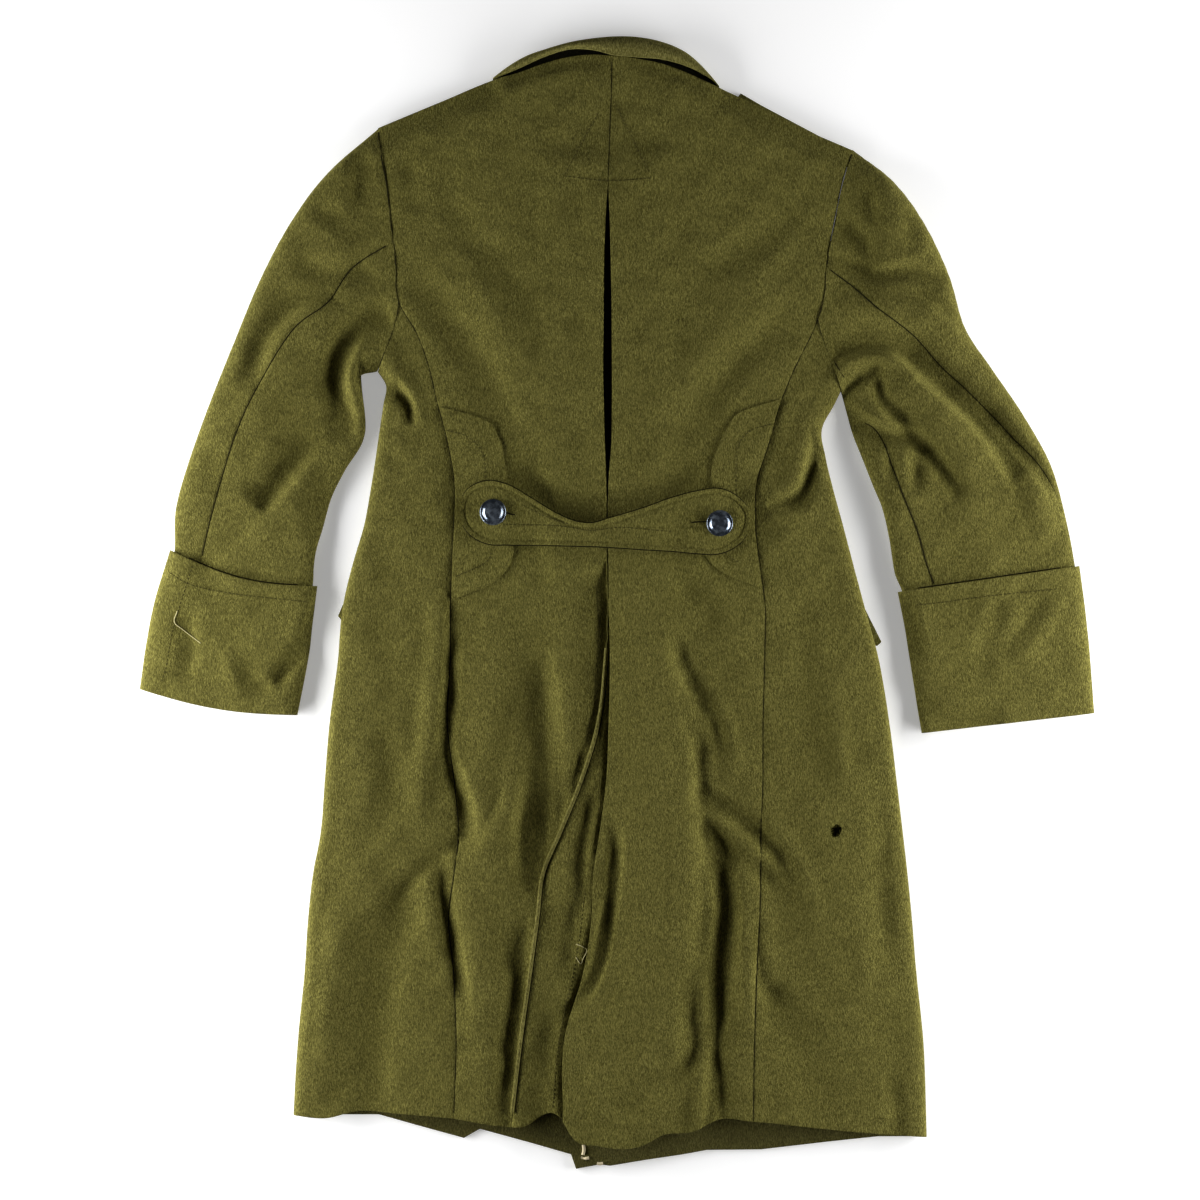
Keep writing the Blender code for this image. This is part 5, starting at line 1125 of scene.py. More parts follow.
def collar_points(u, v):
    """Collar: from the neck seam over its roll, v along the neck and u across the roll."""
    x = mix(COLLAR[0].x, COLLAR[-1].x, v)
    column = np.rint(u * COLLAR_CELLS)
    seam = top_edge(x) + CURVED_SEAM_GAP + collar_gap(x)
    outline = collar_outline(x)
    width = np.minimum(COLLAR_ROLL, ROLL_LIMIT * (outline - seam))
    on_top = np.clip(column / COLLAR_TOP_COLUMNS, 0.0, 1.0)
    reach = mix(seam, outline - width, on_top)
    middle_share = np.sqrt(np.sin(np.pi * v))
    crest = mix(COLLAR_END_TOP, COLLAR_CREST, middle_share)
    at_seam = crest - COLLAR_EDGE_DROP
    top = mix(at_seam, crest, ease(on_top * COLLAR_RISE_RATE))
    angle = np.pi / 2 - np.pi * np.clip((column - COLLAR_TOP_COLUMNS) / ROLL_CELLS, 0.0, 1.0)
    outer, inner = roll(outline, top, 0.0, width, angle)
    past = np.clip(column - COLLAR_TOP_COLUMNS - ROLL_CELLS, 0, UNDER_CELLS)
    under_run = COLLAR_UNDER_RUN * middle_share + COLLAR_UNDER_LEAST
    under = outline - width - past / UNDER_CELLS * under_run
    choose = along_roll(column < COLLAR_TOP_COLUMNS, past > 0)
    outer_z = choose(top, outer[1], 0.0)
    inner_z = choose(top - CLOTH, inner[1], CLOTH)
    outer_y = choose(reach, outer[0], under)
    inner_y = choose(reach, inner[0], under)
    return stack(x, outer_y, outer_z), stack(x, inner_y, inner_z)


def belt_base(x, y):
    """Underside of the half belt: over the patches at its ends, buckled up in the middle."""
    from_middle = np.abs(x - BELT_MIDDLE) / BELT_BUCKLE_REACH
    on_patch = ease(BELT_PATCH_RATE * (from_middle - BELT_PATCH_START))
    over_patch = (PATCH_THICKNESS + PATCH_GAP) * on_patch
    buckle = BELT_BUCKLE * ease(1 - from_middle)
    return cloth_height(x, y) + RESTING_GAP + over_patch + buckle


def belt_rim(x, y):
    """Proud border of the half belt, with the channel of its stitching inside it."""
    at = np.linspace(BELT[0].x, BELT[-1].x, BELT_OUTLINE_STEPS)
    outline_x = np.concatenate([at, at])
    outline_y = np.concatenate([belt_low(at), belt_high(at)])
    distance = np.hypot(x[:, None] - outline_x, y[:, None] - outline_y).min(axis=1)
    border = BELT_RIM * np.exp(-(distance / BELT_RIM_REACH) ** 2)
    channel = BELT_CHANNEL * np.exp(-((distance - BELT_CHANNEL_PLACE) / BELT_CHANNEL_REACH) ** 2)
    return border - channel


def belt_points(u, v):
    """Half belt, its columns crowded towards the rounded ends."""
    crowded = 0.5 - 0.5 * np.cos(np.pi * mix(u, ease(u), BELT_END_CROWDING))
    x = mix(BELT[0].x, BELT[-1].x, crowded)
    y = mix(belt_low(x), belt_high(x), crowd(v))
    thickness = BELT_THICKNESS + belt_rim(x, y)
    return lying(x, y, belt_base(x, y) + thickness, thickness)


def patch_points(rows, seam, facing):
    """A D-shaped patch on a back panel, against its side-back seam."""
    reach = smooth(rows, "y", "reach")

    def points(u, v):
        y = mix(rows[0].y, rows[-1].y, v)
        x = seam(y) - facing * mix(PATCH_SEAM_INSET, reach(y), u)
        return lying(x, y, cloth_height(x, y) + PATCH_GAP + PATCH_THICKNESS, PATCH_THICKNESS)

    return points


# Colours and finishes

Wool = namedtuple("Wool", "light middle dark")
COAT_WOOL = Wool((0.262, 0.238, 0.058), (0.060, 0.0535, 0.008), (0.028, 0.0245, 0.003))
COLLAR_WOOL = Wool((0.262, 0.238, 0.072), (0.066, 0.059, 0.011), (0.033, 0.029, 0.005))
# Painted shade: near-black wool for the pleat insert seen through the slit, and for the collar's under
# run seen in the gap below the collar
PAINTED_SHADE_WOOL = Wool((0.020, 0.019, 0.008), (0.008, 0.0075, 0.003), (0.003, 0.003, 0.0015))
# Painted shade: the fronts' inside faces, seen below the backs' hem, get wool darker than the coat's
INSIDE_SHADE_WOOL = Wool((0.140, 0.126, 0.036), (0.042, 0.037, 0.007), (0.018, 0.016, 0.003))
# Near-black: seam and stitch thread, and also painted shadow in the seams and under the belt's edges, and
# painted shade in the buttonholes
THREAD_AND_SHADE = (0.009, 0.008, 0.002)
STITCH_THREAD = (0.034, 0.030, 0.008)
LOOSE_THREAD = (0.300, 0.270, 0.130)
CANVAS = (0.420, 0.360, 0.230)
BUTTON_METAL = (0.050, 0.062, 0.080)
BUTTON_WORN = (0.200, 0.235, 0.280)
FLOOR_WHITE = (0.90, 0.90, 0.90)

# Values set on the shaders
WOOL_FINISH = {
    "Roughness": 0.95,
    "Specular IOR Level": 0.12,
    "Sheen Weight": 0.22,
    "Sheen Roughness": 0.55,
    "Sheen Tint": (0.62, 0.57, 0.14, 1.0),
}
THREAD_FINISH = {"Roughness": 0.9, "Specular IOR Level": 0.05}
BUTTON_FINISH = {"Metallic": 0.85}
BUTTON_ROUGHNESS = (0.20, 0.36)

# Nap and wear: noise scales, the noise values between which each pattern fades in, and its share
FIBRE_TURNS = (-0.35, 0.25, 1.10, -1.15, 0.02)
FIBRE_STRETCH = (1300.0, 260.0, 600.0)
FIBRE_FADE = (0.56, 0.76)
FIBRE_SHARE = 0.62
SWIRL_SCALE = 34.0
SWIRL_REACH = (0.010, 0.010, 0.010)
MOTTLE_SCALE = 620.0
MOTTLE_FADE = (0.30, 0.66)
MOTTLE_HEIGHT = 0.6
CLOUD_SCALE = 26.0
CLOUD_FADE = (0.30, 0.70)
CLOUD_SHARE = 0.22
NAP_STRENGTH = 0.45
NAP_DEPTH = 0.0009
TWIST_SCALE = 900.0
TWIST_FADE = (0.3, 0.7)
WEAR_SCALE = 160.0
WEAR_FADE = (0.40, 0.70)

# Places of the colour sockets on a Mix node, which share their names with others
MIX_SHARE = 0
MIX_FIRST = 6
MIX_SECOND = 7
MIX_RESULT = 2


def node(tree, kind, **settings):
    """A new node with its settings."""
    made = tree.nodes.new(kind)
    for name, value in settings.items():
        setattr(made, name, value)
    return made


def noise(tree, vector, scale, detail):
    """Noise over the places that an output gives."""
    made = node(tree, "ShaderNodeTexNoise")
    made.inputs["Scale"].default_value = scale
    made.inputs["Detail"].default_value = detail
    tree.links.new(vector, made.inputs["Vector"])
    return made


def stretch(tree, value, low, high):
    """Spreads the values between low and high over 0 to 1."""
    made = node(tree, "ShaderNodeMapRange")
    made.inputs["From Min"].default_value = low
    made.inputs["From Max"].default_value = high
    tree.links.new(value, made.inputs["Value"])
    return made.outputs["Result"]


def calculate(tree, operation, first, second):
    """Result of a sum of two numbers or outputs."""
    made = node(tree, "ShaderNodeMath", operation=operation)
    for place, value in enumerate((first, second)):
        if isinstance(value, float):
            made.inputs[place].default_value = value
        else:
            tree.links.new(value, made.inputs[place])
    return made.outputs["Value"]


def blend_colours(tree, share, first, second):
    """A blend of two colours or outputs, by a share that an output gives."""
    made = node(tree, "ShaderNodeMix", data_type="RGBA")
    tree.links.new(share, made.inputs[MIX_SHARE])
    for place, colour in ((MIX_FIRST, first), (MIX_SECOND, second)):
        if isinstance(colour, tuple):
            made.inputs[place].default_value = colour
        else:
            tree.links.new(colour, made.inputs[place])
    return made.outputs[MIX_RESULT]


def nap_group():
    """Short wool nap: crossing fibres over a mottled ground, as a colour and a height."""
    group = bpy.data.node_groups.new("wool_nap", "ShaderNodeTree")
    for name in ("Light", "Middle", "Dark"):
        group.interface.new_socket(name, in_out="INPUT", socket_type="NodeSocketColor")
    group.interface.new_socket("Colour", in_out="OUTPUT", socket_type="NodeSocketColor")
    group.interface.new_socket("Height", in_out="OUTPUT", socket_type="NodeSocketFloat")
    entry = node(group, "NodeGroupInput")
    place = node(group, "ShaderNodeTexCoord").outputs["Object"]
    drift = noise(group, place, SWIRL_SCALE, 2.0).outputs["Color"]
    swirl = node(group, "ShaderNodeVectorMath", operation="MULTIPLY_ADD")
    swirl.inputs[1].default_value = SWIRL_REACH
    group.links.new(drift, swirl.inputs[0])
    group.links.new(place, swirl.inputs[2])
    fibres = None
    for turn in FIBRE_TURNS:
        lay = node(group, "ShaderNodeMapping")
        lay.inputs["Rotation"].default_value = (0.0, 0.0, turn)
        lay.inputs["Scale"].default_value = FIBRE_STRETCH
        group.links.new(swirl.outputs["Vector"], lay.inputs["Vector"])
        strand = stretch(group, noise(group, lay.outputs["Vector"], 1.0, 1.0).outputs[0], *FIBRE_FADE)
        fibres = strand if fibres is None else calculate(group, "MAXIMUM", fibres, strand)
    mottle = stretch(group, noise(group, place, MOTTLE_SCALE, 2.0).outputs[0], *MOTTLE_FADE)
    clouds = stretch(group, noise(group, place, CLOUD_SCALE, 3.0).outputs[0], *CLOUD_FADE)
    ground = blend_colours(group, mottle, entry.outputs["Dark"], entry.outputs["Middle"])
    fibre_share = calculate(group, "MULTIPLY", fibres, FIBRE_SHARE)
    napped = blend_colours(group, fibre_share, ground, entry.outputs["Light"])
    cloud_share = calculate(group, "MULTIPLY", clouds, CLOUD_SHARE)
    worn = blend_colours(group, cloud_share, napped, entry.outputs["Middle"])
    leave = node(group, "NodeGroupOutput")
    group.links.new(worn, leave.inputs["Colour"])
    height = calculate(group, "ADD", fibres, calculate(group, "MULTIPLY", mottle, MOTTLE_HEIGHT))
    group.links.new(height, leave.inputs["Height"])
    return group


def new_material(name, finish):
    """A material, its nodes and its shader with the finish's values set."""
    material = bpy.data.materials.new(name)
    material.use_nodes = True
    shader = material.node_tree.nodes["Principled BSDF"]
    for socket, value in finish.items():
        shader.inputs[socket].default_value = value
    return material, material.node_tree, shader


def opaque(colour):
    """A colour with full alpha."""
    return (*colour, 1.0)


def wool_material(name, wool, nap):
    """Thick napped wool in three tones."""
    material, tree, shader = new_material(name, WOOL_FINISH)
    cloth = node(tree, "ShaderNodeGroup", node_tree=nap)
    cloth.inputs["Light"].default_value = opaque(wool.light)
    cloth.inputs["Middle"].default_value = opaque(wool.middle)
    cloth.inputs["Dark"].default_value = opaque(wool.dark)
    tree.links.new(cloth.outputs["Colour"], shader.inputs["Base Color"])
    bump = node(tree, "ShaderNodeBump")
    bump.inputs["Strength"].default_value = NAP_STRENGTH
    bump.inputs["Distance"].default_value = NAP_DEPTH
    tree.links.new(cloth.outputs["Height"], bump.inputs["Height"])
    tree.links.new(bump.outputs["Normal"], shader.inputs["Normal"])
    return material


def thread_material(name, colour, variation):
    """Twisted thread: its colour changes along the yarn."""
    material, tree, shader = new_material(name, THREAD_FINISH)
    place = node(tree, "ShaderNodeTexCoord").outputs["Object"]
    twist = stretch(tree, noise(tree, place, TWIST_SCALE, 2.0).outputs[0], *TWIST_FADE)
    lighter = opaque(tuple(channel * variation for channel in colour))
    tone = blend_colours(tree, twist, opaque(colour), lighter)
    tree.links.new(tone, shader.inputs["Base Color"])
    return material


def button_material():
    """Dark metal with patches that are worn brighter and duller."""
    material, tree, shader = new_material("button_metal", BUTTON_FINISH)
    place = node(tree, "ShaderNodeTexCoord").outputs["Object"]
    wear = stretch(tree, noise(tree, place, WEAR_SCALE, 2.0).outputs[0], *WEAR_FADE)
    tone = blend_colours(tree, wear, opaque(BUTTON_METAL), opaque(BUTTON_WORN))
    tree.links.new(tone, shader.inputs["Base Color"])
    rough = node(tree, "ShaderNodeMapRange")
    rough.inputs["To Min"].default_value = BUTTON_ROUGHNESS[0]
    rough.inputs["To Max"].default_value = BUTTON_ROUGHNESS[1]
    tree.links.new(wear, rough.inputs["Value"])
    tree.links.new(rough.outputs["Result"], shader.inputs["Roughness"])
    return material


nap = nap_group()
coat_wool = wool_material("coat_wool", COAT_WOOL, nap)
collar_wool = wool_material("collar_wool", COLLAR_WOOL, nap)
# Painted shade: near-black wool that stands for the deep shade in the slit and under the collar
painted_shade_wool = wool_material("painted_shade_wool", PAINTED_SHADE_WOOL, nap)
# Painted shade: darker wool for the fronts' inside faces under the backs
inside_shade_wool = wool_material("inside_shade_wool", INSIDE_SHADE_WOOL, nap)
# Near-black thread that also serves as painted shadow and painted shade
thread_and_shade = thread_material("thread_and_shade", THREAD_AND_SHADE, 1.8)
stitch_thread = thread_material("stitch_thread", STITCH_THREAD, 1.6)
loose_thread = thread_material("loose_thread", LOOSE_THREAD, 1.4)
canvas = thread_material("canvas", CANVAS, 1.3)
button_metal = button_material()


# Cloth shells

def new_object(name, data):
    """An object placed in the scene."""
    made = bpy.data.objects.new(name, data)
    bpy.context.scene.collection.objects.link(made)
    return made


def mesh_from(builder, name):
    """The mesh that a bmesh holds, which is then freed."""
    mesh = bpy.data.meshes.new(name)
    builder.to_mesh(mesh)
    builder.free()
    return mesh


def finished(node_name, builder, material, kind="wool"):
    """A piece of the coat in place of its solid."""
    name = kind + "_" + node_name
    mesh = mesh_from(builder, name)
    mesh.materials.append(material)
    mesh.shade_smooth()
    piece = new_object(name, mesh)
    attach(piece, "root")
    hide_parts(node_name)
    return piece


def round_edges(piece, width=EDGE_ROUNDING):
    """Rounds the cut edges of a cloth wall."""
    rounding = piece.modifiers.new("rounding", "BEVEL")
    rounding.width = width
    rounding.segments = ROUNDING_SEGMENTS
    rounding.limit_method = "ANGLE"
    rounding.angle_limit = ROUNDING_ANGLE


def grid_places(builder):
    """u and v of every vertex of a unit grid, u along its x and v down its y."""
    places = np.array([vertex.co[:2] for vertex in builder.verts])
    return places[:, 0] + 0.5, 0.5 - places[:, 1]


def face_outwards(builder):
    """Turns all faces of a closed wall outwards."""
    bmesh.ops.recalc_face_normals(builder, faces=builder.faces)
    if builder.calc_volume(signed=True) < 0:
        bmesh.ops.reverse_faces(builder, faces=builder.faces)


def thicken(builder, outer, inner):
    """Closes a sheet into a wall: its own vertices take the outer points, a copy the inner ones."""
    mark = builder.verts.layers.int.new("place")
    for index, vertex in enumerate(builder.verts):
        vertex[mark] = index
    made = bmesh.ops.extrude_face_region(builder, geom=list(builder.faces), use_keep_orig=True)
    copied = {item for item in made["geom"] if isinstance(item, bmesh.types.BMVert)}
    for vertex in builder.verts:
        vertex.co = inner[vertex[mark]] if vertex in copied else outer[vertex[mark]]
    builder.verts.layers.int.remove(mark)
    face_outwards(builder)


def panel(node_name, columns, rows, points, material=coat_wool, rounding=EDGE_ROUNDING):
    """A cloth panel from its (u, v) points."""
    builder = bmesh.new()
    bmesh.ops.create_grid(builder, x_segments=columns, y_segments=rows, size=0.5)
    u, v = grid_places(builder)
    outer, inner = points(u, v)
    thicken(builder, outer, inner)
    piece = finished(node_name, builder, material)
    round_edges(piece, rounding)
    return piece


def tube(node_name, steps, rows, points):
    """A cuff: a flattened tube whose wall closes on itself at both ends."""
    builder = bmesh.new()
    bmesh.ops.create_grid(builder, x_segments=steps, y_segments=2 * rows + 2, size=0.5)
    u, w = grid_places(builder)
    row = np.rint(w * (2 * rows + 2))
    outside = row <= rows
    v = np.where(outside, row, 2 * rows + 1 - row) / rows
    v = np.where(row > 2 * rows + 1, 0.0, v)
    outside = outside | (row > 2 * rows + 1)
    outer, inner = points(2 * u, v)
    for vertex, point in zip(builder.verts, np.where(outside[:, None], outer, inner)):
        vertex.co = point
    bmesh.ops.remove_doubles(builder, verts=builder.verts, dist=MERGE_DISTANCE)
    face_outwards(builder)
    piece = finished(node_name, builder, coat_wool)
    round_edges(piece)
    return piece


def paint_shade_inside(piece, material, chosen):
    """Gives the chosen ones of the faces that point up, which are the cloth's inside, a darker wool as
    painted shade.
    """
    piece.data.materials.append(material)
    for face in piece.data.polygons:
        face.material_index = int(face.normal.z > FACING_UP and chosen(face))


def front(node_name, points, plates):
    """A front: its side grid joined to the flat plates of its underside.

    Each plate is a list of (place, height); a place of None stands for the side grid's inner edge.
    """
    builder = bmesh.new()
    bmesh.ops.create_grid(builder, x_segments=SIDE_CELLS, y_segments=SIDE_ROWS, size=0.5)
    u, v = grid_places(builder)
    outer, inner = points(u, v)
    builder.verts.ensure_lookup_table()
    inner_edge = [index for index in np.argsort(v) if u[index] > 1 - 0.5 / SIDE_CELLS]
    corners = {}
    outer_list = list(outer)
    inner_list = list(inner)
    for plate in plates:
        ring_vertices = []
        for place, height in plate:
            if place is None:
                ring_vertices += [builder.verts[index] for index in inner_edge]
                continue
            if place not in corners:
                corners[place] = builder.verts.new((*place, 1.0))
                outer_list.append((*place, height))
                inner_list.append((*place, height + CLOTH))
            ring_vertices.append(corners[place])
        builder.verts.index_update()
        builder.verts.ensure_lookup_table()
        builder.faces.new(ring_vertices)
    thicken(builder, outer_list, inner_list)
    piece = finished(node_name, builder, coat_wool)
    # Painted shade: the large inside faces of the underside plates get the darker wool
    paint_shade_inside(piece, inside_shade_wool, lambda face: face.area > PLATE_AREA)
    return piece


def at_height(rows, height):
    """Places of an underside plate's corners, each with its height."""
    return [(EdgeRow(*row), height) for row in rows]


def below_strap(rows):
    """A strap's edge moved down, so that the front beside it stays clear of it."""
    return [EdgeRow(row.x, row.y - STRAP_CLEARANCE) for row in rows]


def underside_armhole(rows, outer_edge, facing, scoop_from, shoulder_y):
    """Armhole edge of a front's underside, from underarm to shoulder, just inside the sleeve's edge."""
    first = rows[0].inner_y + UNDERSIDE_ARMHOLE_START
    heights = np.linspace(first, shoulder_y, UNDERSIDE_ARMHOLE_STEPS)
    shares = (rows[0].outer_y - heights) / (rows[0].outer_y - rows[0].inner_y)
    x, y = armhole(shares, rows, outer_edge, facing, scoop_from)
    return [EdgeRow(float(at - facing * UNDERSIDE_INSET), float(height)) for at, height in zip(x, y)]


def left_plates():
    """Underside of the left front: armhole, shoulder, neck, front edge and hem, on the floor."""
    armhole_edge = underside_armhole(LEFT_SLEEVE, outer_left, -1, LEFT_SEAM_START, LEFT_ARMHOLE_TOP)
    shoulder = below_strap(STRAP_LEFT[2:])
    hem = [LEFT_FRONT_HEM_CORNER, *LOWER_HEM_LEFT[::-1]]
    outline = [*armhole_edge, *shoulder, *LEFT_FRONT_NECK, *hem]
    return [[(None, 0.0)] + at_height(outline[::-1], 0.0)]


def right_plates():
    """Underside of the right front: flat at its side, up a ramp and over the left front."""
    armhole_edge = underside_armhole(RIGHT_SLEEVE, outer_right, 1, RIGHT_SEAM_START, RIGHT_ARMHOLE_TOP)
    hem = smooth(LOWER_HEM_RIGHT, "x", "y")
    ramp_top, lap_top, *lap_neck = RIGHT_FRONT_NECK
    ramp_hem = EdgeRow(LAP_RAMP_END, float(hem(LAP_RAMP_END)))
    lap_hem = EdgeRow(LAP_RAMP_START, float(hem(LAP_RAMP_START)))
    hem_side = [row for row in LOWER_HEM_RIGHT if row.x > LAP_RAMP_END + RAMP_HEM_MARGIN]
    hem_lap = [row for row in LOWER_HEM_RIGHT if row.x < LAP_RAMP_START - RAMP_HEM_MARGIN]
    shoulder = below_strap(STRAP_RIGHT[4:])
    side = [*hem_side[::-1], ramp_hem, ramp_top, *shoulder[::-1], *armhole_edge[::-1]]
    side_plate = [(None, 0.0)] + at_height(side, 0.0)
    ramp = at_height([ramp_top, ramp_hem], 0.0) + at_height([lap_hem, lap_top], LAYER)
    lap = at_height([lap_top, lap_hem, *hem_lap[::-1], RIGHT_FRONT_HEM_CORNER, *lap_neck[::-1]], LAYER)
    return [side_plate, ramp, lap]


def hole_reach(turn):
    """Uneven radius of the worn hole at an angle round its centre."""
    waves = sum(wave.height * math.sin(wave.count * turn + wave.start) for wave in HOLE_WAVES)
    return HOLE_RADIUS * (1 + waves)


def cut_hole(piece):
    """Cuts the worn hole, uneven as moths leave it, through the right front's side run."""
    builder = bmesh.new()
    bmesh.ops.create_cone(builder, cap_ends=True, segments=HOLE_SIDES, radius1=HOLE_RADIUS,
                          radius2=HOLE_RADIUS, depth=HOLE_CUTTER_DEPTH)
    for vertex in builder.verts:
        vertex.co.xy *= hole_reach(math.atan2(vertex.co.y, vertex.co.x)) / HOLE_RADIUS
    bmesh.ops.scale(builder, verts=builder.verts, vec=(1.0, HOLE_STRETCH, 1.0))
    middle = HOLE_CUTTER_FLOOR + HOLE_CUTTER_DEPTH / 2
    bmesh.ops.translate(builder, verts=builder.verts, vec=(*HOLE_CENTRE, middle))
    cutter = new_object("hole_cutter", mesh_from(builder, "hole_cutter"))
    cut = piece.modifiers.new("hole", "BOOLEAN")
    cut.operation = "DIFFERENCE"
    cut.object = cutter
    bpy.context.view_layer.update()
    depsgraph = bpy.context.evaluated_depsgraph_get()
    cut_mesh = bpy.data.meshes.new_from_object(piece.evaluated_get(depsgraph))
    piece.modifiers.clear()
    piece.data = cut_mesh
    bpy.data.objects.remove(cutter)


def tab(node_name, outline, bottom, thickness):
    """A flat tab of cloth: its outline drawn as one face and extruded upwards."""
    builder = bmesh.new()
    face = builder.faces.new([builder.verts.new((x, y, bottom)) for x, y in outline])
    made = bmesh.ops.extrude_face_region(builder, geom=[face], use_keep_orig=True)
    raised = [item for item in made["geom"] if isinstance(item, bmesh.types.BMVert)]
    bmesh.ops.translate(builder, verts=raised, vec=(0.0, 0.0, thickness))
    bmesh.ops.recalc_face_normals(builder, faces=builder.faces)
    piece = finished(node_name, builder, coat_wool)
    round_edges(piece)
    return piece


# Buttons

ProfilePoint = namedtuple("ProfilePoint", "reach rise")
BUTTON_PROFILE = (
    ProfilePoint(0.00, 0.00),
    ProfilePoint(0.80, 0.00),
    ProfilePoint(0.95, 0.10),
    ProfilePoint(1.00, 0.24),
    ProfilePoint(0.99, 0.36),
    ProfilePoint(0.95, 0.45),
    ProfilePoint(0.90, 0.47),
    ProfilePoint(0.86, 0.43),
    ProfilePoint(0.83, 0.44),
    ProfilePoint(0.72, 0.62),
    ProfilePoint(0.64, 0.72),
    ProfilePoint(0.60, 0.78),
    ProfilePoint(0.55, 0.79),
    ProfilePoint(0.50, 0.80),
    ProfilePoint(0.34, 0.93),
    ProfilePoint(0.18, 0.98),
    ProfilePoint(0.00, 1.00),
)


def button(node_name, centre, tilt):
    """A domed metal button with a rim and a plain ring, turned round its own axis."""
    builder = bmesh.new()
    line = []
    for point in BUTTON_PROFILE:
        line.append(builder.verts.new((BUTTON_RADIUS * point.reach, 0.0, BUTTON_HEIGHT * point.rise)))
    edges = [builder.edges.new(pair) for pair in zip(line, line[1:])]
    bmesh.ops.spin(builder, geom=line + edges, axis=(0, 0, 1), cent=(0, 0, 0), angle=math.tau,
                   steps=BUTTON_STEPS, use_merge=True)
    bmesh.ops.remove_doubles(builder, verts=builder.verts, dist=MERGE_DISTANCE)
    bmesh.ops.recalc_face_normals(builder, faces=builder.faces)
    lean = Matrix.Rotation(tilt, 4, "X")
    rest = float(belt_base(*centre)) + BELT_THICKNESS - BUTTON_SINK
    bmesh.ops.transform(builder, matrix=Matrix.Translation((*centre, rest)) @ lean, verts=builder.verts)
    finished(node_name, builder, button_metal, "metal")


back_left = panel("back_left", BACK_COLUMNS, BACK_ROWS, back_left_points)
back_right = panel("back_right", BACK_COLUMNS, BACK_ROWS, back_right_points)
# Painted shade: the pleat insert gets near-black wool for the deep shade inside the slit
pleat_insert = panel("pleat_insert", INSERT_COLUMNS, INSERT_ROWS, insert_points, painted_shade_wool)
vent_underlap = panel("vent_underlap", UNDERLAP_COLUMNS, UNDERLAP_ROWS, underlap_points)
front_left = front("front_left", left_side_points, left_plates())
front_right = front("front_right", right_side_points, right_plates())
cut_hole(front_right)
round_edges(front_left)
round_edges(front_right)
top_sleeve_left = panel("top_sleeve_left", *SLEEVE_GRID, top_sleeve(left_sleeve, LEFT_SLEEVE))
under_sleeve_left = panel("under_sleeve_left", *SLEEVE_GRID, under_sleeve(left_sleeve, LEFT_SLEEVE))
top_sleeve_right = panel("top_sleeve_right", *SLEEVE_GRID, top_sleeve(right_sleeve, RIGHT_SLEEVE))
under_sleeve_right = panel("under_sleeve_right", *SLEEVE_GRID, under_sleeve(right_sleeve, RIGHT_SLEEVE))
cuff_left = tube("cuff_left", CUFF_STEPS, CUFF_ROWS, cuff(LEFT_CUFF))
cuff_right = tube("cuff_right", CUFF_STEPS, CUFF_ROWS, cuff(RIGHT_CUFF))
collar = panel("collar", COLLAR_CELLS, COLLAR_COLUMNS, collar_points, collar_wool)
# Painted shade: the collar's under run, seen in the gap below the collar, gets the near-black wool
paint_shade_inside(collar, painted_shade_wool, lambda face: face.center.z < COLLAR_END_TOP)
half_belt = panel("half_belt", BELT_COLUMNS, BELT_ROWS, belt_points, rounding=BELT_ROUNDING)
waist_patch_left = panel("waist_patch_left", PATCH_COLUMNS, PATCH_ROWS,
                         patch_points(LEFT_PATCH, outer_left, -1))
waist_patch_right = panel("waist_patch_right", PATCH_COLUMNS, PATCH_ROWS,
                          patch_points(RIGHT_PATCH, outer_right, 1))
shoulder_strap_left = tab("shoulder_strap_left", STRAP_LEFT, 0.0, CLOTH)
shoulder_strap_right = tab("shoulder_strap_right", STRAP_RIGHT, 0.0, CLOTH)
pocket_flap_left = tab("pocket_flap_left", FLAP_LEFT, 0.0, FLAP_THICKNESS)
pocket_flap_right = tab("pocket_flap_right", FLAP_RIGHT, 0.0, FLAP_THICKNESS)
button("belt_button_left", BUTTON_LEFT, 0.0)
button("belt_button_right", BUTTON_RIGHT, BUTTON_RIGHT_TILT)


# Sewing: stitches, seam lines of thread and painted shadow, the vent's welt and loose threads, laid on
# the finished cloth

# Radii of the cords, their lifts above the cloth, how far aside the cloth's height is felt for, and
# the steps and ends of the lines that they follow
LOOK_HEIGHT = 0.1
CORD_ROUNDNESS = 2
SEAM_RADIUS = 0.0006
SEAM_LIFT = -0.0006
SEAM_REACH = 0.001
SEAM_INSET = 0.004
SEAM_STEPS = 120
SLEEVE_SEAM_START = 0.02
FRONT_SEAM_START = 0.32
SLEEVE_SEAM_END = 0.885
ARMHOLE_SEAM_END = 0.97
STITCH_STEP = 0.0042
STITCH_RADIUS = 0.00042
STITCH_LIFT = 0.0001
WELT_RADIUS = 0.0019
WELT_LIFT = 0.0004
WELT_REACH = 0.003
WELT_TOP = -0.045
WELT_END = -0.508
WELT_STEPS = 110
WELT_STITCH_OFFSET = 0.0028
THREAD_RADIUS = 0.0004
THREAD_STEP = 0.0015
SLIT_RADIUS = 0.0008
SLIT_LIFT = -0.0003
SLIT_EDGE_OFFSET = 0.0013
CANVAS_RADIUS = 0.0016
FRAY_COUNT = 22
FRAY_RADIUS = 0.0003
FRAY_LENGTH = (0.0012, 0.0034)
FRAY_SWING = 0.5

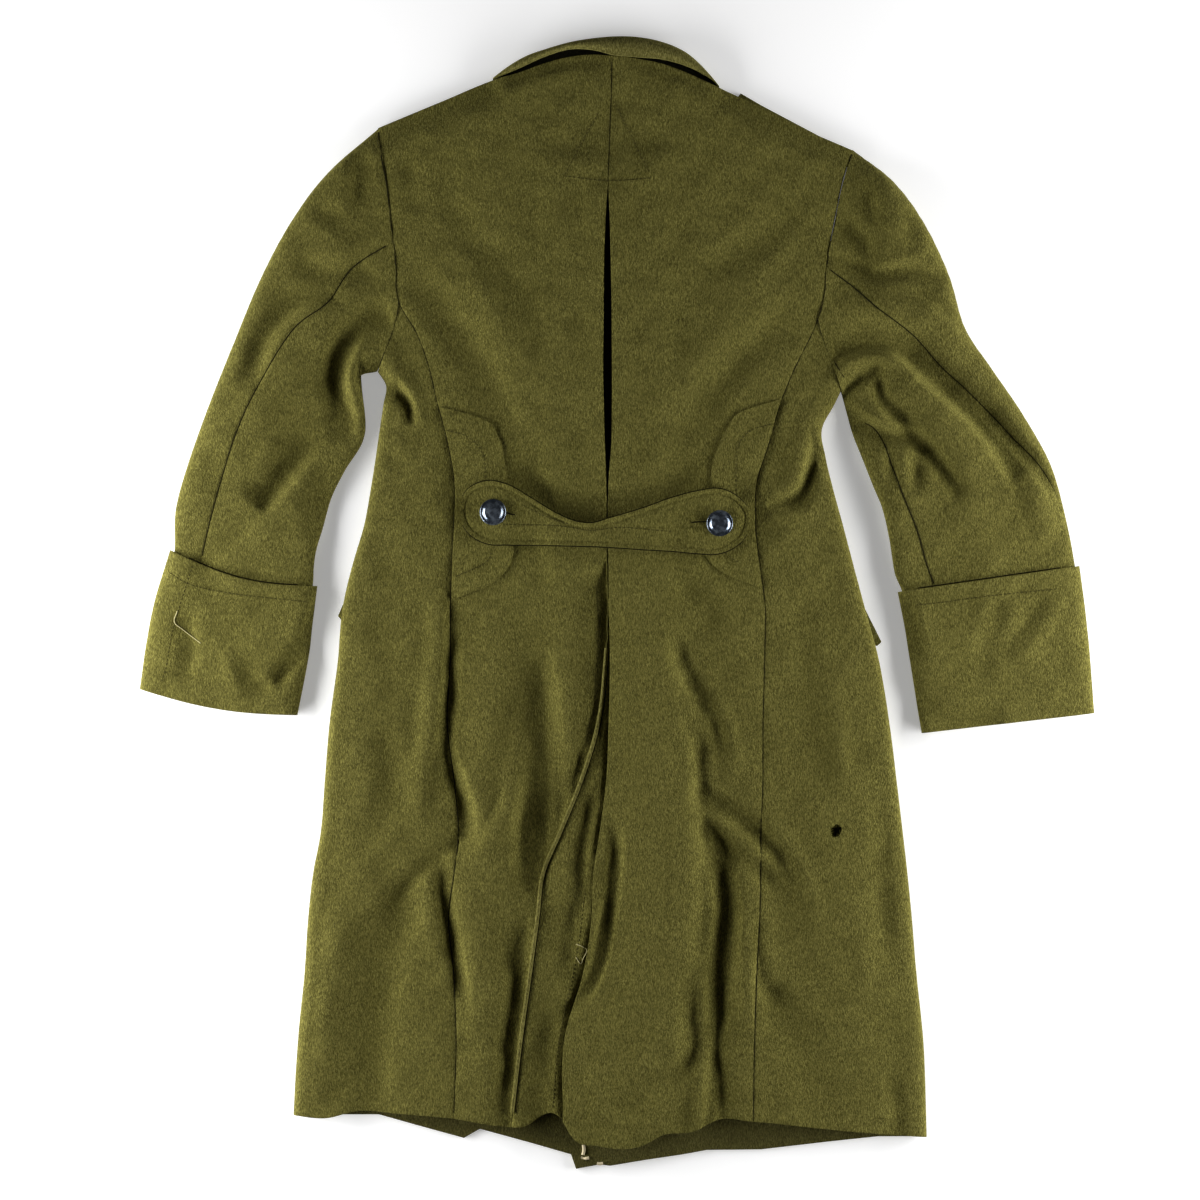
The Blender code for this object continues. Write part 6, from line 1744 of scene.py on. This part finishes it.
# Lines on the cloth, each through a few places
STITCHED_LINES = (
    # Triangle that holds the top of the pleat
    ((-0.019, 0.488), (-0.036, 0.457), (-0.052, 0.427)),
    ((-0.003, 0.500), (0.014, 0.466), (0.031, 0.431)),
    ((-0.052, 0.425), (-0.009, 0.4204), (0.033, 0.423)),
    # Waist patches
    ((-0.170, 0.172), (-0.152, 0.167), (-0.139, 0.157), (-0.132, 0.141), (-0.131, 0.123)),
    ((-0.1255, 0.050), (-0.130, 0.041), (-0.143, 0.034), (-0.162, 0.026)),
    ((0.153, 0.178), (0.1356, 0.173), (0.124, 0.163), (0.119, 0.147), (0.119, 0.112)),
    ((0.108, 0.050), (0.115, 0.044), (0.122, 0.040)),
    # Half belt
    ((-0.111, 0.078), (-0.061, 0.077), (-0.026, 0.072), (0.003, 0.075), (0.056, 0.071)),
    ((-0.093, 0.097), (-0.073, 0.087), (-0.049, 0.079)),
    # Pleat closed above the belt
    ((-0.010, 0.113), (-0.010, 0.100), (-0.010, 0.087)),
    # Underlap
    ((-0.032, -0.289), (-0.041, -0.355), (-0.058, -0.438), (-0.0643, -0.505)),
    # Cuffs
    ((-0.446, 0.030), (-0.424, 0.018), (-0.381, 0.009), (-0.308, 0.001)),
    ((0.298, -0.002), (0.319, 0.000), (0.370, 0.007), (0.438, 0.014)),
    ((-0.423, 0.037), (-0.433, 0.006), (-0.443, -0.027), (-0.450, -0.065), (-0.455, -0.080)),
)
BUTTONHOLES = (
    ((-0.111, 0.090), (-0.106, 0.0885), (-0.1015, 0.088)),
    ((0.074, 0.080), (0.081, 0.0808), (0.089, 0.081)),
)
LOOSE_THREADS = (
    ((-0.438, -0.008), (-0.441, -0.019), (-0.432, -0.027), (-0.415, -0.040)),
    ((-0.041, -0.340), (-0.035, -0.342), (-0.030, -0.346), (-0.034, -0.355), (-0.036, -0.360),
     (-0.041, -0.353)),
)
CANVAS_BITS = (
    ((-0.0335, -0.541), (-0.0330, -0.546), (-0.0340, -0.551)),
    ((-0.036, -0.5535), (-0.032, -0.5545), (-0.028, -0.5540)),
    ((-0.020, -0.5595), (-0.017, -0.5600), (-0.014, -0.5595)),
)


def line_places(path, step):
    """Places a step apart on the smooth line through a path's stations."""
    line = fold_line(path)
    lengths = np.hypot(*np.diff(line, axis=0).T)
    run = np.concatenate([[0.0], np.cumsum(lengths)])
    stations = np.linspace(0.0, run[-1], max(2, round(run[-1] / step) + 1))
    return np.stack([np.interp(stations, run, line[:, 0]), np.interp(stations, run, line[:, 1])], axis=1)


def height_on(pieces, x, y):
    """Height of the highest of some pieces at a place, found by looking straight down on them."""
    depsgraph = bpy.context.evaluated_depsgraph_get()
    eye = (x, y, LOOK_HEIGHT)
    looks = [piece.evaluated_get(depsgraph).ray_cast(eye, (0, 0, -1)) for piece in pieces]
    return max((place.z for found, place, *_ in looks if found), default=CLOTH)


def on_cloth(places, pieces, lift, reach=0.0):
    """Places with their heights on the highest of some pieces within a reach, raised by a lift."""
    points = []
    for x, y in places:
        height = max(height_on(pieces, x + aside, y) for aside in (-reach, 0.0, reach))
        points.append((x, y, height + lift))
    return points


def cords(name, lines, radius, material):
    """Round cords, one along each line of points."""
    curve = bpy.data.curves.new(name, "CURVE")
    curve.dimensions = "3D"
    curve.bevel_depth = radius
    curve.bevel_resolution = CORD_ROUNDNESS
    curve.use_fill_caps = True
    for line in lines:
        spline = curve.splines.new("POLY")
        spline.points.add(len(line) - 1)
        for point, place in zip(spline.points, line):
            point.co = (*place, 1.0)
    curve.materials.append(material)
    piece = new_object(name, curve)
    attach(piece, "root")


def stitches(places):
    """Cuts a line of places into single stitches, with a gap after each."""
    return [places[start:start + 2] for start in range(0, len(places) - 1, 2)]


def beside(line, offset):
    """A line moved sideways, to the left of the way it runs."""
    run = np.gradient(line, axis=0)
    run = run / np.hypot(run[:, 0], run[:, 1])[:, None]
    return line + offset * np.stack([-run[:, 1], run[:, 0]], axis=1)


def back_seam_lines():
    """Side-back seams with the armholes' backs, the centre seam and the armholes' fronts."""
    share = np.linspace(0.0, 1.0, SEAM_STEPS)
    lines = []
    for edge, top, low in ((outer_left, LEFT_SHOULDER, HEM_LINE), (outer_right, RIGHT_SHOULDER, HEM_LINE),
                           (centre_left, CENTRE_NECK, SLIT_TOP)):
        y = mix(top - SEAM_INSET, low + SEAM_INSET, share)
        lines.append(np.stack([edge(y), y], axis=1))
    for rows, edge, facing, scoop_from in ((LEFT_SLEEVE, outer_left, -1, LEFT_SEAM_START),
                                           (RIGHT_SLEEVE, outer_right, 1, RIGHT_SEAM_START)):
        first = (rows[0].outer_y - scoop_from) / (rows[0].outer_y - rows[0].inner_y)
        shares = mix(first, ARMHOLE_SEAM_END, share)
        lines.append(np.stack(armhole(shares, rows, edge, facing, scoop_from), axis=1))
    return [on_cloth(line, SHELL_CLOTH, SEAM_LIFT, SEAM_REACH) for line in lines]


def sleeve_seam_lines():
    """Back seams of both sleeves, and the right one's front seam where it lies on top."""
    lines = []
    for sleeve, rows, seam, first in ((left_sleeve, LEFT_SLEEVE, "back_seam", SLEEVE_SEAM_START),
                                      (right_sleeve, RIGHT_SLEEVE, "back_seam", SLEEVE_SEAM_START),
                                      (right_sleeve, RIGHT_SLEEVE, "front_seam", FRONT_SEAM_START)):
        v = np.linspace(first, SLEEVE_SEAM_END, SEAM_STEPS)
        outside = sleeve(along(rows, seam)(v), v)[0]
        lines.append(outside - (0.0, 0.0, SEAM_DIP))
    return lines


def cuff_seam_lines():
    """Dark lines of thread and painted shadow where the sleeves go into the cuffs."""
    share = np.linspace(ROLL_SHARE, 1 - ROLL_SHARE, SEAM_STEPS)
    edges = [cuff(rows)(share, np.zeros(SEAM_STEPS))[0][:, :2] for rows in (LEFT_CUFF, RIGHT_CUFF)]
    return [on_cloth(edge + (0.0, SEAM_REACH), SHELL_CLOTH, 0.0) for edge in edges]


def belt_shadow_lines():
    """Painted shadow: dark lines under the long edges of the half belt."""
    x = np.linspace(BELT[2].x, BELT[-3].x, SEAM_STEPS)
    low_edge = np.stack([x, belt_low(x) - SEAM_RADIUS], axis=1)
    high_edge = np.stack([x, belt_high(x) + SEAM_RADIUS], axis=1)
    under_belt = (back_left, back_right, waist_patch_left, waist_patch_right)
    return [on_cloth(edge, under_belt, SEAM_RADIUS) for edge in (low_edge, high_edge)]


def draw_seam_and_shadow_lines():
    """Dark lines along all the seams, of thread with painted shadow, and painted shadow under the half
    belt's edges.
    """
    lines = back_seam_lines() + sleeve_seam_lines() + cuff_seam_lines() + belt_shadow_lines()
    # These cords are seam thread with painted shadow, and painted shadow under the belt's edges
    cords("seam_lines", lines, SEAM_RADIUS, thread_and_shade)


def sew_stitches():
    """Rows of single stitches along the stitched lines."""
    rows = [line_places(path, STITCH_STEP / 2) for path in STITCHED_LINES]
    lines = [on_cloth(stitch, SEWN_CLOTH, STITCH_LIFT) for row in rows for stitch in stitches(row)]
    cords("stitches", lines, STITCH_RADIUS, stitch_thread)


def sew_welt():
    """Welt along the vent edge of the left back, with the seam beside it."""
    y = np.linspace(WELT_TOP, WELT_END, WELT_STEPS)
    edge = np.stack([centre_left(y), y], axis=1)
    welt = on_cloth(edge, (back_left, vent_underlap), WELT_LIFT, WELT_REACH)
    cords("vent_welt", [welt], WELT_RADIUS, collar_wool)
    row = on_cloth(edge + (WELT_STITCH_OFFSET, 0.0), SEWN_CLOTH, STITCH_LIFT)
    cords("vent_welt_seam", [row], STITCH_RADIUS, thread_and_shade)


def sew_buttonholes():
    """Painted shade: dark cords in the slits of the half belt, each slit between two worked edges."""
    slits = [line_places(path, THREAD_STEP) for path in BUTTONHOLES]
    edges = [beside(slit, side * SLIT_EDGE_OFFSET) for slit in slits for side in (-1, 1)]
    slits = [on_cloth(slit, (half_belt,), SLIT_LIFT) for slit in slits]
    # Painted shade: near-black cords stand for the shade inside the slits
    cords("buttonholes", slits, SLIT_RADIUS, thread_and_shade)
    edges = [on_cloth(edge, (half_belt,), 0.0) for edge in edges]
    cords("buttonhole_edges", edges, THREAD_RADIUS, coat_wool)


def add_loose_threads():
    """Threads that lie loose on the cloth, and bits of bared canvas at the hem."""
    threads = [line_places(path, THREAD_STEP) for path in LOOSE_THREADS]
    threads = [on_cloth(thread, SEWN_CLOTH, THREAD_RADIUS) for thread in threads]
    cords("loose_threads", threads, THREAD_RADIUS, loose_thread)
    bits = [line_places(path, THREAD_STEP) for path in CANVAS_BITS]
    bits = [on_cloth(bit, (front_right, back_right), 0.0) for bit in bits]
    cords("canvas_bits", bits, CANVAS_RADIUS, canvas)


def fray_hole():
    """Short fibres that reach from the rim of the worn hole into it."""
    rim_height = float(cloth_height(*HOLE_CENTRE)) - CLOTH / 2
    fibres = []
    for turn in np.linspace(0.0, math.tau, FRAY_COUNT, endpoint=False):
        reach = hole_reach(turn)
        rim = Vector(HOLE_CENTRE) + reach * Vector((math.cos(turn), HOLE_STRETCH * math.sin(turn)))
        swing = turn + math.pi + dice.uniform(-FRAY_SWING, FRAY_SWING)
        tip = rim + dice.uniform(*FRAY_LENGTH) * Vector((math.cos(swing), math.sin(swing)))
        fibres.append([(*rim, rim_height), (*tip, rim_height)])
    cords("hole_fibres", fibres, FRAY_RADIUS, coat_wool)


SHELL_CLOTH = (back_left, back_right, front_left, front_right, top_sleeve_left, under_sleeve_left,
               top_sleeve_right, under_sleeve_right)
SEWN_CLOTH = (back_left, back_right, half_belt, waist_patch_left, waist_patch_right, vent_underlap,
              cuff_left, cuff_right)
bpy.context.view_layer.update()
draw_seam_and_shadow_lines()
sew_stitches()
sew_welt()
sew_buttonholes()
add_loose_threads()
fray_hole()


# Cloth pieces as flat cuts: width, length and area before sewing

Cut = namedtuple("Cut", "piece width length area rests_on")
CUTS = (
    Cut(back_left, 0.24, 1.08, 0.156, ["wool_front_left"]),
    Cut(back_right, 0.29, 1.10, 0.191, ["wool_front_right"]),
    Cut(pleat_insert, 0.078, 0.350, 0.027, ["wool_front_right"]),
    Cut(vent_underlap, 0.140, 0.585, 0.0435, ["wool_front_right"]),
    Cut(front_left, 0.56, 1.06, 0.420, ["floor"]),
    Cut(front_right, 0.54, 1.05, 0.395, ["floor"]),
    Cut(top_sleeve_left, 0.20, 0.50, 0.0605, ["floor"]),
    Cut(under_sleeve_left, 0.20, 0.43, 0.0630, ["floor"]),
    Cut(top_sleeve_right, 0.26, 0.52, 0.0890, ["floor"]),
    Cut(under_sleeve_right, 0.17, 0.40, 0.0455, ["floor"]),
    Cut(cuff_left, 0.32, 0.145, 0.0440, ["floor"]),
    Cut(cuff_right, 0.36, 0.150, 0.053, ["floor"]),
    Cut(collar, 0.24, 0.075, 0.0128, ["floor"]),
    Cut(half_belt, 0.29, 0.065, 0.0145, ["wool_back_left", "wool_back_right"]),
    Cut(waist_patch_left, 0.065, 0.192, 0.0098, ["wool_back_left"]),
    Cut(waist_patch_right, 0.055, 0.188, 0.0084, ["wool_back_right"]),
    Cut(shoulder_strap_left, 0.095, 0.043, 0.0040, ["floor"]),
    Cut(shoulder_strap_right, 0.120, 0.046, 0.0053, ["floor"]),
    Cut(pocket_flap_left, 0.018, 0.036, 0.0006, ["floor"]),
    Cut(pocket_flap_right, 0.018, 0.050, 0.0008, ["floor"]),
)
for row in CUTS:
    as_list(row.rests_on)


# Floor, camera and light

CAMERA_PLACE = (-0.017, 0.003, 4.0)
VIEW_WIDTH = 1.2
SENSOR = 36.0
FLOOR_HALF_WIDTH = 4.0
FLOOR_DROP = 0.0003
FLOOR_FINISH = {
    "Base Color": opaque(FLOOR_WHITE),
    "Roughness": 0.9,
    "Emission Color": opaque(FLOOR_WHITE),
    "Emission Strength": 0.34,
}
Lamp = namedtuple("Lamp", "name place aim width height power")
LAMPS = (
    Lamp("softbox_left", (-1.08, -0.16, 0.24), (0.0, -0.05, 0.0), 1.3, 0.40, 37.0),
    Lamp("softbox_right", (1.18, -0.12, 0.25), (0.0, -0.05, 0.0), 1.5, 0.40, 37.0),
)
AMBIENT = 0.05


def add_floor():
    """A wide pale floor just below the coat, with a faint glow of its own."""
    builder = bmesh.new()
    bmesh.ops.create_grid(builder, x_segments=1, y_segments=1, size=FLOOR_HALF_WIDTH)
    bmesh.ops.translate(builder, verts=builder.verts, vec=(0.0, 0.0, -FLOOR_DROP))
    mesh = mesh_from(builder, "floor")
    mesh.materials.append(new_material("floor_white", FLOOR_FINISH)[0])
    new_object("floor", mesh)


def add_camera():
    """Looks straight down, as the photograph does."""
    data = bpy.data.cameras.new("photo_camera")
    data.sensor_width = SENSOR
    data.lens = SENSOR * CAMERA_PLACE[2] / VIEW_WIDTH
    camera = new_object("photo_camera", data)
    camera.location = CAMERA_PLACE
    bpy.context.scene.camera = camera


def add_lamps():
    """Two low softboxes, one at each side, that bring out the folds."""
    for lamp in LAMPS:
        data = bpy.data.lights.new(lamp.name, "AREA")
        data.shape = "RECTANGLE"
        data.size = lamp.width
        data.size_y = lamp.height
        data.energy = lamp.power
        light = new_object(lamp.name, data)
        light.location = lamp.place
        way = Vector(lamp.aim) - Vector(lamp.place)
        light.rotation_euler = way.to_track_quat("-Z", "Y").to_euler()


def add_world():
    """Weak even light from all round."""
    world = bpy.data.worlds.new("studio")
    world.use_nodes = True
    background = world.node_tree.nodes["Background"]
    background.inputs["Color"].default_value = (1.0, 1.0, 1.0, 1.0)
    background.inputs["Strength"].default_value = AMBIENT
    bpy.context.scene.world = world


add_floor()
add_camera()
add_lamps()
add_world()
bpy.context.scene.view_settings.view_transform = "Standard"
